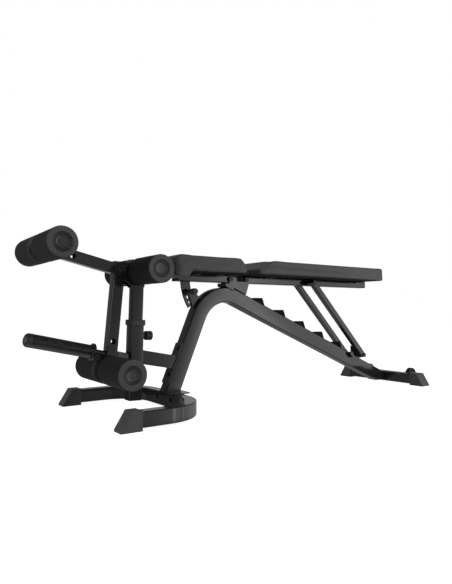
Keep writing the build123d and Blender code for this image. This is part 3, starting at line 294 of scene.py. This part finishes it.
def moulded_rubber():
    """Charcoal rubber of the shoes, wheels and bumper: finely pitted, slightly dusty."""
    s = Shader("moulded_rubber", 0.56, 0.4)
    dust = s.spread(s.noise(26.0, 6.0, 0.62), 0.35, 0.72, 0.0, 1.0)
    base = s.blend(dust, (0.064, 0.064, 0.066), (0.082, 0.082, 0.084))
    # Lighter edges: partly worn rubber, partly a painted highlight along the edges.
    s.color(s.blend(s.math("MULTIPLY", s.edge_mask(2.0 * MM), 0.45), base, (0.12, 0.12, 0.122)))
    s.roughness(s.spread(s.noise(150.0, 3.0), 0.3, 0.7, 0.48, 0.66))
    s.normal(s.bump(s.noise(900.0, 3.0, 0.7), 0.22, 0.25 * MM, s.rounded(1.4 * MM)))
    return s.material


def wheel_tread():
    """Hard black rubber of the transport wheels, dusty on the tread."""
    s = Shader("wheel_tread", 0.55, 0.3)
    dust = s.spread(s.noise(60.0, 6.0, 0.62), 0.35, 0.72, 0.0, 1.0)
    base = s.blend(dust, (0.010, 0.010, 0.010), (0.020, 0.020, 0.021))
    # Lighter edges: partly worn rubber, partly a painted highlight along the edges.
    s.color(s.blend(s.math("MULTIPLY", s.edge_mask(1.2 * MM), 0.4), base, (0.045, 0.045, 0.046)))
    s.roughness(s.spread(s.noise(150.0, 3.0), 0.3, 0.7, 0.50, 0.68))
    s.normal(s.bump(s.noise(900.0, 3.0, 0.7), 0.2, 0.25 * MM, s.rounded(1.0 * MM)))
    return s.material


def pale_plug_painted_light():
    """Grey plastic of the lever tubes' end plugs with faint flow marks; its pale tone is painted
    light for the light their faces catch.
    """
    s = Shader("pale_plug_painted_light", 0.42, 0.5)
    flow = s.spread(s.noise(50.0, 4.0, 0.6, 0.8), 0.35, 0.7, 0.0, 1.0)
    # The pale tone is painted light: it stands in for the light on the plugs' faces.
    s.color(s.blend(flow, (0.30, 0.30, 0.303), (0.38, 0.38, 0.383)))
    s.roughness(s.spread(s.noise(240.0, 3.0), 0.3, 0.7, 0.38, 0.50))
    s.normal(s.bump(s.noise(1300.0, 2.0), 0.12, 0.12 * MM, s.rounded(0.8 * MM)))
    return s.material


def moulded_plastic():
    """Black moulded plastic of the plugs, caps, collar and knobs."""
    s = Shader("moulded_plastic", 0.36, 0.5)
    flow = s.spread(s.noise(34.0, 4.0, 0.6, 0.8), 0.35, 0.7, 0.0, 1.0)
    base = s.blend(flow, (0.020, 0.020, 0.021), (0.032, 0.032, 0.034))
    # Lighter edges: partly worn plastic, partly a painted highlight along the edges.
    s.color(s.blend(s.math("MULTIPLY", s.edge_mask(1.0 * MM), 0.4), base, (0.075, 0.075, 0.077)))
    s.roughness(s.spread(s.noise(240.0, 3.0), 0.3, 0.7, 0.40, 0.54))
    s.normal(s.bump(s.noise(1300.0, 2.0), 0.14, 0.12 * MM, s.rounded(0.8 * MM)))
    return s.material


def catch_coat():
    """Matte black coating of the ladder's catches; edges lighter in patches: partly worn where
    the bar lands, partly a painted highlight.
    """
    s = Shader("catch_coat", 0.62, 0.12)
    patches = s.spread(s.noise(160.0, 4.0), 0.4, 0.65, 0.0, 0.7)
    # Lighter edges in patches: partly worn coating, partly a painted highlight.
    wear_and_highlight = s.math("MULTIPLY", s.edge_mask(1.6 * MM), patches)
    base = s.blend(s.noise(40.0, 4.0), (0.003, 0.003, 0.003), (0.006, 0.006, 0.006))
    s.color(s.blend(wear_and_highlight, base, (0.025, 0.025, 0.025)))
    s.normal(s.bump(s.noise(600.0, 2.0), 0.15, 0.2 * MM, s.rounded(0.9 * MM)))
    return s.material


def glossy_cap():
    """Shiny black plastic of the rollers' end caps."""
    s = Shader("glossy_cap", 0.12, 0.6)
    haze = s.spread(s.noise(90.0, 4.0), 0.4, 0.7, 0.0, 1.0)
    s.color(s.blend(haze, (0.020, 0.020, 0.021), (0.030, 0.030, 0.031)))
    s.roughness(s.spread(s.noise(130.0, 3.0), 0.3, 0.7, 0.16, 0.22))
    return s.material


def grained_vinyl():
    """Upholstery vinyl: pebbled grain, fine creases and a soft sheen."""
    s = Shader("grained_vinyl", 0.46, 0.45)
    tone = s.spread(s.noise(7.0, 4.0, 0.6), 0.35, 0.68, 0.0, 1.0)
    base = s.blend(tone, (0.053, 0.053, 0.055), (0.066, 0.066, 0.068))
    pebble = s.cells(760.0, "DISTANCE_TO_EDGE")
    valley = s.spread(pebble, 0.0, 0.22, 1.0, 0.0)
    s.color(s.blend(s.math("MULTIPLY", valley, 0.55), base, (0.026, 0.026, 0.027)))
    s.roughness(s.spread(s.noise(320.0, 3.0), 0.3, 0.7, 0.38, 0.56))
    grain = s.bump(s.spread(pebble, 0.0, 0.25, 0.0, 1.0), 0.35, 0.18 * MM)
    crease = s.bump(s.noise(75.0, 5.0, 0.65, 0.5), 0.10, 0.5 * MM, grain)
    s.normal(crease)
    s.bsdf.inputs["Sheen Weight"].default_value = 0.06
    s.bsdf.inputs["Sheen Roughness"].default_value = 0.4
    return s.material


def foam_skin(name, low, high):
    """Closed-cell foam: pin pores, matte, with a faint bloom."""
    s = Shader(name, 0.78, 0.28)
    bloom = s.spread(s.noise(18.0, 5.0, 0.6), 0.35, 0.7, 0.0, 1.0)
    base = s.blend(bloom, low, high)
    pore = s.spread(s.cells(950.0), 0.0, 0.30, 1.0, 0.0)
    s.color(s.blend(s.math("MULTIPLY", pore, 0.6), base, (0.006, 0.006, 0.006)))
    s.roughness(s.spread(s.noise(400.0, 3.0), 0.3, 0.7, 0.70, 0.88))
    pits = s.bump(s.cells(950.0), 0.45, 0.22 * MM)
    s.normal(s.bump(s.noise(140.0, 4.0, 0.6), 0.18, 0.5 * MM, pits))
    s.bsdf.inputs["Sheen Weight"].default_value = 0.02
    s.bsdf.inputs["Sheen Roughness"].default_value = 0.5
    return s.material


def backing_cloth():
    """Thin black dust cloth stapled under the cushions: a fine square weave."""
    s = Shader("backing_cloth", 0.85, 0.2)
    weave = s.cells(520.0, "F1", 0.12)
    thread = s.spread(weave, 0.1, 0.6, 0.0, 1.0)
    s.color(s.blend(thread, (0.020, 0.020, 0.021), (0.008, 0.008, 0.008)))
    s.normal(s.bump(weave, 0.4, 0.25 * MM))
    return s.material


def pale_floor():
    """Plain pale studio floor, lit up evenly where it is looked at directly."""
    s = Shader("pale_floor", 0.65, 0.2)
    s.color(s.blend(s.noise(0.8, 2.0), (0.52, 0.52, 0.52), (0.55, 0.55, 0.55)))
    path = s.add("ShaderNodeLightPath")
    s.bsdf.inputs["Emission Color"].default_value = (1.0, 1.0, 1.0, 1.0)
    seen = s.math("MULTIPLY", path.outputs["Is Camera Ray"], FLOOR_GLOW)
    s.link(seen, s.bsdf.inputs["Emission Strength"])
    return s.material


SLOT_MATERIAL = {
    "frame_paint": powder_coat(),
    "dark_hardware": black_oxide(),
    "dark_steel": gloss_enamel(),
    "rubber_grey": moulded_rubber(),
    "black_plastic": moulded_plastic(),
    "catch_black": catch_coat(),
    "foam_black": foam_skin("foam_side", (0.006, 0.006, 0.006), (0.009, 0.009, 0.009)),
    "pad_vinyl": grained_vinyl(),
}
FOAM_END = foam_skin("foam_end", (0.066, 0.066, 0.066), (0.084, 0.084, 0.084))
GLOSSY_CAP = glossy_cap()
BACKING = backing_cloth()
OWN_MATERIAL = {
    "wheel_near": wheel_tread(),
    "lever_tube_caps": pale_plug_painted_light(),
}
OWN_MATERIAL["wheel_far"] = OWN_MATERIAL["wheel_near"]


# ---------------------------------------------------------------- mesh helpers
def new_piece(name, bm, body, material):
    """Make an object from a bmesh and let it ride on a CAD body."""
    bmesh.ops.recalc_face_normals(bm, faces=bm.faces)
    mesh = bpy.data.meshes.new(name)
    bm.to_mesh(mesh)
    bm.free()
    for polygon in mesh.polygons:
        polygon.use_smooth = True
    obj = bpy.data.objects.new(name, mesh)
    bpy.context.scene.collection.objects.link(obj)
    mesh.materials.append(material)
    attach(obj, body)
    return obj


def split_sharp(obj, degrees=CRISP_ANGLE):
    """Keep edges crisp and round faces smooth."""
    split = obj.modifiers.new("crisp", "EDGE_SPLIT")
    split.split_angle = math.radians(degrees)
    split.use_edge_sharp = False


def welded_bmesh(node):
    """A CAD node's mesh with its doubled corners joined."""
    bm = bmesh.new()
    bm.from_mesh(NODES[node].data)
    bmesh.ops.remove_doubles(bm, verts=bm.verts, dist=JOIN_DISTANCE)
    return bm


def arc(cx, cy, radius, start, end, steps):
    """Points on an arc, angles in degrees."""
    points = []
    for i in range(steps + 1):
        a = math.radians(start + (end - start) * i / steps)
        points.append((cx + radius * math.cos(a), cy + radius * math.sin(a)))
    return points


def lathe(bm, outline, centre, side, segments, closed):
    """Turn (radius, depth) points about the Y line through centre.

    Depth runs inwards from the end face at centre; side is -1 on the near side.
    """
    rings = []
    for radius, depth in outline:
        y = centre.y - side * depth
        if radius < 1e-6:
            rings.append([bm.verts.new((centre.x, y, centre.z))])
            continue
        ring = []
        for i in range(segments):
            a = math.tau * i / segments
            x = centre.x + radius * math.cos(a)
            ring.append(bm.verts.new((x, y, centre.z + radius * math.sin(a))))
        rings.append(ring)
    pairs = list(zip(rings, rings[1:]))
    if closed:
        pairs.append((rings[-1], rings[0]))
    for a, b in pairs:
        for i in range(segments):
            j = (i + 1) % segments
            if len(a) == 1 and len(b) > 1:
                bm.faces.new((a[0], b[i], b[j]))
            elif len(b) == 1 and len(a) > 1:
                bm.faces.new((a[i], a[j], b[0]))
            elif len(a) > 1:
                bm.faces.new((a[i], a[j], b[j], b[i]))


# ---------------------------------------------------------------- CAD nodes
def dress_cad_nodes():
    """Give every carried-over CAD node its material and smooth round faces."""
    for row in RECORD["subparts"]:
        obj = NODES[row["node"]]
        obj.data.materials.clear()
        usual = SLOT_MATERIAL[row["material_slot"]]
        obj.data.materials.append(OWN_MATERIAL.get(row["node"], usual))
        bpy.context.view_layer.objects.active = obj
        if obj.data.has_custom_normals:
            bpy.ops.mesh.customdata_custom_splitnormals_clear()
        obj.data.polygons.foreach_set("use_smooth", [True] * len(obj.data.polygons))
        weld = obj.modifiers.new("join", "WELD")
        weld.merge_threshold = JOIN_DISTANCE
        split_sharp(obj)


# ---------------------------------------------------------------- cushions
def simulate(obj):
    """Swell a closed cushion with cloth pressure while its flat underside stays put."""
    scene = bpy.context.scene
    start = [v.co.copy() for v in obj.data.vertices]
    cloth = obj.modifiers.new("swell", "CLOTH")
    settings = cloth.settings
    settings.quality = 6
    settings.mass = 0.3
    settings.tension_stiffness = 18.0
    settings.compression_stiffness = 18.0
    settings.shear_stiffness = 8.0
    settings.bending_stiffness = 2.0
    settings.use_pressure = True
    settings.uniform_pressure_force = PAD_PRESSURE
    settings.vertex_group_mass = "board"
    settings.effector_weights.gravity = 0.0
    cloth.point_cache.frame_start = 1
    cloth.point_cache.frame_end = PAD_FRAMES
    for number in range(1, PAD_FRAMES + 1):
        scene.frame_set(number)
    swollen = obj.evaluated_get(bpy.context.evaluated_depsgraph_get()).to_mesh()
    moved = [v.co.copy() for v in swollen.vertices]
    obj.evaluated_get(bpy.context.evaluated_depsgraph_get()).to_mesh_clear()
    obj.modifiers.remove(cloth)
    scene.frame_set(1)
    for vertex, old, new in zip(obj.data.vertices, start, moved):
        step = new - old
        if step.length > PAD_CAP:
            step *= PAD_CAP / step.length
        vertex.co = old + step


def apply_modifier(obj, name):
    bpy.context.view_layer.objects.active = obj
    bpy.ops.object.modifier_apply(modifier=name)


def cushion(node, name):
    """Upholstered cushion in the place of a CAD pad."""
    low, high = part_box(node)
    bm = welded_bmesh(node)
    mesh = bpy.data.meshes.new(name)
    bm.to_mesh(mesh)
    bm.free()
    obj = bpy.data.objects.new(name, mesh)
    bpy.context.scene.collection.objects.link(obj)
    remesh = obj.modifiers.new("voxels", "REMESH")
    remesh.mode = "VOXEL"
    remesh.voxel_size = PAD_VOXEL
    remesh.use_smooth_shade = True
    apply_modifier(obj, "voxels")
    relax = obj.modifiers.new("relax", "SMOOTH")
    relax.factor = 0.5
    relax.iterations = 4
    apply_modifier(obj, "relax")
    mesh = obj.data
    board = obj.vertex_groups.new(name="board")
    flat = [p for p in mesh.polygons if p.normal.z < -0.9]
    held = sorted({v for p in flat for v in p.vertices})
    held = [v for v in held if mesh.vertices[v].co.z < low.z + PAD_HELD_DEPTH]
    board.add(held, 1.0, "REPLACE")
    still = set(held)
    normals = [v.normal.copy() for v in mesh.vertices]
    for vertex, normal in zip(mesh.vertices, normals):
        if vertex.index not in still:
            vertex.co -= normal * PAD_SHRINK
    simulate(obj)
    ease = obj.modifiers.new("ease", "SMOOTH")
    ease.factor = 0.5
    ease.iterations = 3
    apply_modifier(obj, "ease")
    stretch(obj, low, high)
    pull_cover(obj, low, high)
    finer = obj.modifiers.new("finer", "SUBSURF")
    finer.levels = 1
    finer.render_levels = 1
    apply_modifier(obj, "finer")
    obj.data.polygons.foreach_set("use_smooth", [True] * len(obj.data.polygons))
    obj.data.materials.clear()
    obj.data.materials.append(SLOT_MATERIAL["pad_vinyl"])
    obj.data.materials.append(BACKING)
    board_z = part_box("seat_rail")[1].z
    for polygon in obj.data.polygons:
        level = abs(polygon.center.z - board_z) < PAD_BACKING_REACH
        under = polygon.normal.z < -0.8 and level
        polygon.material_index = 1 if under else 0
    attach(obj, BODY_OF[node])
    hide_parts(node)
    return obj


def stretch(obj, low, high):
    """Draw the cover out to the board's full length, which smoothing has shortened."""
    xs = [v.co.x for v in obj.data.vertices]
    a, b = min(xs), max(xs)
    left = low.x - PAD_OVER
    right = high.x + PAD_OVER
    for vertex in obj.data.vertices:
        vertex.co.x = left + (vertex.co.x - a) * (right - left) / (b - a)


def pull_cover(obj, low, high):
    """Faint waves in the cover, strongest along the lower edge where it is stapled."""
    tall = high.z - low.z
    for vertex in obj.data.vertices:
        if abs(vertex.normal.z) > 0.8 and vertex.normal.z < 0:
            continue
        share = 1.0 - min(1.0, max(0.0, (vertex.co.z - low.z) / tall))
        wave = noise.noise(vertex.co * 26.0)
        vertex.co += vertex.normal * wave * (0.25 + 0.45 * share) * MM


# ---------------------------------------------------------------- foam rolls
def foam_outline(length, radius, bore):
    """Closed (radius, depth) section of a roll: soft outer rim, recess for the cap, bore."""
    r = ROLL_OUTER_ROUND
    q = ROLL_INNER_ROUND
    points = arc(radius - q, length - q, q, 90, 0, 8)
    points += [(radius, length * (1 - i / 14)) for i in range(2, 12)]
    points += arc(radius - r, r, r, 0, -90, 12)
    points += [(RECESS_RADIUS + RECESS_LIP + 2 * MM, 0.15 * MM)]
    points += arc(RECESS_RADIUS + RECESS_LIP, RECESS_LIP, RECESS_LIP, -90, -180, 6)
    points += [(RECESS_RADIUS, RECESS_DEPTH), (bore, RECESS_DEPTH)]
    points += [(bore, length)]
    return points


def foam_roll(node, name):
    """A closed-cell foam roll in the place of a CAD one."""
    low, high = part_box(node)
    side = -1 if low.y + high.y < 0 else 1
    face = low.y if side < 0 else high.y
    centre = Vector(((low.x + high.x) / 2, face, (low.z + high.z) / 2))
    radius = (high.x - low.x) / 2
    bm = bmesh.new()
    outline = foam_outline(high.y - low.y, radius, ROLL_BORE)
    lathe(bm, outline, centre, side, ROLL_SEGMENTS, True)
    bm.normal_update()
    seed = Vector((low.x * 7, side * 3, low.z * 5))
    for vertex in bm.verts:
        away = math.hypot(vertex.co.x - centre.x, vertex.co.z - centre.z)
        if away > RECESS_RADIUS + 3 * MM:
            vertex.co += vertex.normal * noise.noise(vertex.co * 38.0 + seed) * 0.35 * MM
    obj = new_piece(name, bm, BODY_OF[node], SLOT_MATERIAL["foam_black"])
    obj.data.materials.append(FOAM_END)
    for polygon in obj.data.polygons:
        middle = polygon.center
        depth = abs(middle.y - face)
        away = math.hypot(middle.x - centre.x, middle.z - centre.z)
        ends = min(depth, high.y - low.y - depth)
        if ends < 0.55 * ROLL_OUTER_ROUND and away < radius:
            polygon.material_index = 1
    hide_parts(node)
    return obj


def cap_outline():
    """Section of a dished end cap: flat floor, raised ring, sloped wall, lip, skirt, stem."""
    floor = 3.4 * MM
    points = [(0.0, floor), (10 * MM, floor), (16 * MM, floor - 0.1 * MM)]
    points += [(18.4 * MM, floor - 0.3 * MM)]
    points += arc(20.6 * MM, floor - 0.2 * MM, 1.5 * MM, 200, 340, 8)
    points += [(23.2 * MM, floor), (24.6 * MM, floor - 0.4 * MM), (25.4 * MM, floor - 1.2 * MM)]
    points += arc(27.6 * MM, 1.5 * MM, 1.9 * MM, 190, 360, 10)
    points += [(CAP_RADIUS, CAP_SKIRT), (8.0 * MM, CAP_SKIRT)]
    points += [(7.9 * MM, CAP_STEM), (0.0, CAP_STEM)]
    return points


def end_caps(node, name):
    """Both glossy caps of a roller, each with its stem in the bar."""
    low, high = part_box(node)
    x = (low.x + high.x) / 2
    z = (low.z + high.z) / 2
    bm = bmesh.new()
    for side, y in ((-1, low.y), (1, high.y)):
        lathe(bm, cap_outline(), Vector((x, y, z)), side, CAP_SEGMENTS, False)
    obj = new_piece(name, bm, BODY_OF[node], GLOSSY_CAP)
    split_sharp(obj, CAP_CRISP_ANGLE)
    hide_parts(node)
    return obj


# ---------------------------------------------------------------- welds
def surface_tree(node):
    bm = welded_bmesh(node)
    tree = BVHTree.FromBMesh(bm)
    bm.free()
    return tree


def seam_edges(node, other):
    """Sharp outside edges of one CAD node that lie on another's surface."""
    bm = welded_bmesh(node)
    bm.normal_update()
    own = BVHTree.FromBMesh(bm)
    touch = surface_tree(other)
    found = []
    for edge in bm.edges:
        if len(edge.link_faces) != 2 or edge.calc_face_angle() < SEAM_ANGLE:
            continue
        a, b = (v.co for v in edge.verts)
        middle = (a + b) / 2
        hits = [touch.find_nearest(p, SEAM_REACH) for p in (a, middle, b)]
        if any(h[0] is None for h in hits):
            continue
        wall = hits[1][1]
        side = min((f.normal for f in edge.link_faces), key=lambda n: abs(n.dot(wall)))
        if wall.dot(side) > 0.999:
            continue
        start = middle + side * MM + wall * MM
        if own.ray_cast(start, side, SEAM_CLEARANCE)[0] is None:
            found.append((a.copy(), b.copy()))
    bm.free()
    return found


def chains(edges):
    """Join edges end to end into lines of points."""
    def key(p):
        return tuple(round(c * 1e5) for c in p)

    left = list(edges)
    lines = []
    while left:
        a, b = left.pop()
        line = [a, b]
        grown = True
        while grown:
            grown = False
            for i, (p, q) in enumerate(left):
                if key(p) == key(line[-1]):
                    line.append(q)
                elif key(q) == key(line[-1]):
                    line.append(p)
                elif key(p) == key(line[0]):
                    line.insert(0, q)
                elif key(q) == key(line[0]):
                    line.insert(0, p)
                else:
                    continue
                left.pop(i)
                grown = True
                break
        lines.append(line)
    return lines


def evenly(line, step):
    """Points at an even step along a line of points."""
    points = [line[0]]
    carry = step
    for a, b in zip(line, line[1:]):
        run = (b - a).length
        while carry <= run:
            points.append(a.lerp(b, carry / run))
            carry += step
        carry -= run
    points.append(line[-1])
    return points


def bead(bm, line):
    """A rippled weld bead along a line of points."""
    points = evenly(line, BEAD_STEP)
    if len(points) < 4:
        return
    rings = []
    for i, point in enumerate(points):
        ahead = points[min(i + 1, len(points) - 1)] - points[max(i - 1, 0)]
        if ahead.length < 1e-7:
            continue
        turn = ahead.to_track_quat("Z", "Y").to_matrix()
        ripple = 0.86 + 0.14 * math.sin(i * 2.1) + 0.08 * noise.noise(point * 300.0)
        end = min(i, len(points) - 1 - i)
        radius = BEAD_RADIUS * ripple * min(1.0, 0.45 + 0.25 * end)
        ring = []
        for k in range(BEAD_SIDES):
            a = math.tau * k / BEAD_SIDES
            offset = turn @ Vector((math.cos(a), math.sin(a), 0)) * radius
            ring.append(bm.verts.new(point + offset))
        rings.append(ring)
    for a, b in zip(rings, rings[1:]):
        for k in range(BEAD_SIDES):
            m = (k + 1) % BEAD_SIDES
            bm.faces.new((a[k], a[m], b[m], b[k]))
    bm.faces.new(list(reversed(rings[0])))
    bm.faces.new(rings[-1])


WELDS = {
    "weld_foot_plate": [("main_frame", "foot_plate"), ("foot_plate", "front_base")],
    "weld_crossbar": [("main_frame", "rear_crossbar")],
    "weld_leg_beam": [("leg_beam", "attachment_plate"), ("leg_beam", "post_sleeve")],
    "weld_catches": [("catch_ladder", "main_frame")],
    "weld_wheel_brackets": [("wheel_brackets", "rear_crossbar")],
    "weld_curl_arm": [("curl_arm", "lever_arm")],
    "weld_horn": [("horn_tube", "horn_peg")],
    "weld_arc_plate": [("seat_arc_plate", "seat_rail")],
    "weld_seat_tabs": [("seat_pad_tabs", "seat_rail")],
    "weld_back_tabs": [("back_pad_tabs", "back_rail")],
    "weld_strut_feet": [("strut_foot_plates", "strut_tubes")],
}


def welds():
    for name, pairs in WELDS.items():
        bm = bmesh.new()
        for node, other in pairs:
            for line in chains(seam_edges(node, other)):
                bead(bm, line)
        body = BODY_OF[pairs[0][0]]
        new_piece(name, bm, body, SLOT_MATERIAL["frame_paint"])


# ---------------------------------------------------------------- stage
def area_light(name, place, aim, width, height, power, mirrored):
    """A soft panel; mirrored says whether glossy faces show it."""
    data = bpy.data.lights.new(name, "AREA")
    data.shape = "RECTANGLE"
    data.size = width
    data.size_y = height
    data.energy = power
    obj = bpy.data.objects.new(name, data)
    bpy.context.scene.collection.objects.link(obj)
    obj.location = place
    obj.rotation_euler = (Vector(aim) - Vector(place)).to_track_quat("-Z", "Y").to_euler()
    obj.visible_glossy = mirrored


# Strength of the surround: by height above and below the horizon (0 to 1), and in a belt at
# eye level by degrees round from -Y towards +X.
SKY_UP = [(0.0, 0.38), (0.30, 0.20), (0.75, 0.10), (1.0, 0.10)]
SKY_DOWN = [(0.0, 0.34), (0.22, 0.22), (0.55, 0.16), (0.80, 0.55), (1.0, 0.90)]
BANDS = [
    (0.0, 0.38), (25.0, 0.42), (28.0, 0.55), (29.8, 0.70), (30.4, 1.05), (33.0, 1.35),
    (34.8, 2.2), (37.0, 2.9), (40.3, 2.9), (41.6, 1.40), (47.5, 1.35), (48.6, 1.7),
    (51.0, 1.7), (52.5, 1.3), (54.5, 0.9), (59.5, 0.95), (60.5, 1.8), (64.0, 1.7),
    (67.0, 1.05), (73.0, 1.10), (90.0, 0.95), (110.0, 0.60), (125.0, 0.45), (165.0, 0.45),
    (180.0, 0.35), (195.0, 0.30), (202.0, 0.28), (205.0, 0.12), (214.0, 0.12), (230.0, 0.34),
    (240.0, 0.40), (285.0, 0.45), (330.0, 0.28), (360.0, 0.28),
]
SURROUND_SCALE = 2.6
BELT_INNER = 0.20
BELT_OUTER = 0.36


def background(kit, color, strength):
    node = kit.add("ShaderNodeBackground")
    node.inputs["Color"].default_value = (*color, 1.0)
    kit.feed(strength, node.inputs["Strength"])
    return node.outputs[0]


def surround(kit):
    """Graded glow with softbox bands, a function of direction only."""
    split = kit.add("ShaderNodeSeparateXYZ")
    kit.link(kit.add("ShaderNodeTexCoord").outputs["Generated"], split.inputs[0])
    x, y, z = split.outputs
    turn = kit.math("ARCTAN2", x, kit.math("MULTIPLY", y, -1.0))
    degrees = kit.math("MULTIPLY", turn, 180.0 / math.pi)
    around = kit.math("MODULO", kit.math("ADD", degrees, 360.0), 360.0)
    bands = kit.curve(around, BANDS, 0.0, 360.0, SURROUND_SCALE)
    up = kit.curve(z, SKY_UP, 0.0, 1.0, SURROUND_SCALE)
    down = kit.curve(kit.math("MULTIPLY", z, -1.0), SKY_DOWN, 0.0, 1.0, SURROUND_SCALE)
    sky = kit.between(kit.math("GREATER_THAN", z, 0.0), down, up)
    height = kit.math("ABSOLUTE", z, 0.0)
    belt = kit.spread(height, BELT_INNER, BELT_OUTER, 1.0, 0.0, smooth=True)
    return kit.between(belt, sky, bands)


def studio():
    """A high key light, a soft top light, a low fill and a surround that is seen as white."""
    middle = (0.0, 0.0, 0.3)
    area_light("key_high", (1.2, -2.6, 3.0), middle, 1.6, 1.6, KEY_POWER, False)
    area_light("top", (0.3, 0.4, 3.0), (0.1, 0.0, 0.3), 2.4, 1.4, TOP_POWER, False)
    area_light("front_fill", (-3.6, 0.3, 0.9), middle, 1.6, 1.6, FILL_POWER, True)
    world = bpy.data.worlds.new("studio")
    kit = NodeKit(world)
    glow = background(kit, (0.98, 0.985, 1.0), surround(kit))
    seen = background(kit, (1.0, 1.0, 1.0), 1.0)
    mix = kit.add("ShaderNodeMixShader")
    kit.link(kit.add("ShaderNodeLightPath").outputs["Is Camera Ray"], mix.inputs[0])
    kit.link(glow, mix.inputs[1])
    kit.link(seen, mix.inputs[2])
    kit.link(mix.outputs[0], kit.add("ShaderNodeOutputWorld").inputs["Surface"])
    bpy.context.scene.world = world


def floor():
    bm = bmesh.new()
    bmesh.ops.create_grid(bm, x_segments=8, y_segments=8, size=14.0)
    mesh = bpy.data.meshes.new("floor")
    bm.to_mesh(mesh)
    bm.free()
    obj = bpy.data.objects.new("floor", mesh)
    obj.location.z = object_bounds()[0].z - 0.2 * MM
    mesh.materials.append(pale_floor())
    bpy.context.scene.collection.objects.link(obj)
    obj.visible_glossy = False
    obj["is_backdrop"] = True


def camera():
    data = bpy.data.cameras.new("camera")
    data.lens = CAMERA_LENS
    data.sensor_width = 36.0
    data.clip_end = 60.0
    obj = bpy.data.objects.new("camera", data)
    obj.location = CAMERA_PLACE
    obj.rotation_euler = Euler(CAMERA_TURN)
    bpy.context.scene.collection.objects.link(obj)
    bpy.context.scene.camera = obj


# ---------------------------------------------------------------- the object
dress_cad_nodes()
cushion("seat_pad", "seat_cushion")
cushion("back_pad", "back_cushion")
for roller in ("knee", "lower", "curl"):
    for end in ("near", "far"):
        foam_roll(f"{roller}_foam_{end}", f"{roller}_roll_{end}")
    end_caps(f"{roller}_roller_plugs", f"{roller}_end_caps")
welds()

floor()
studio()
camera()
bpy.context.scene.view_settings.view_transform = "Standard"
bpy.context.scene.view_settings.look = "None"
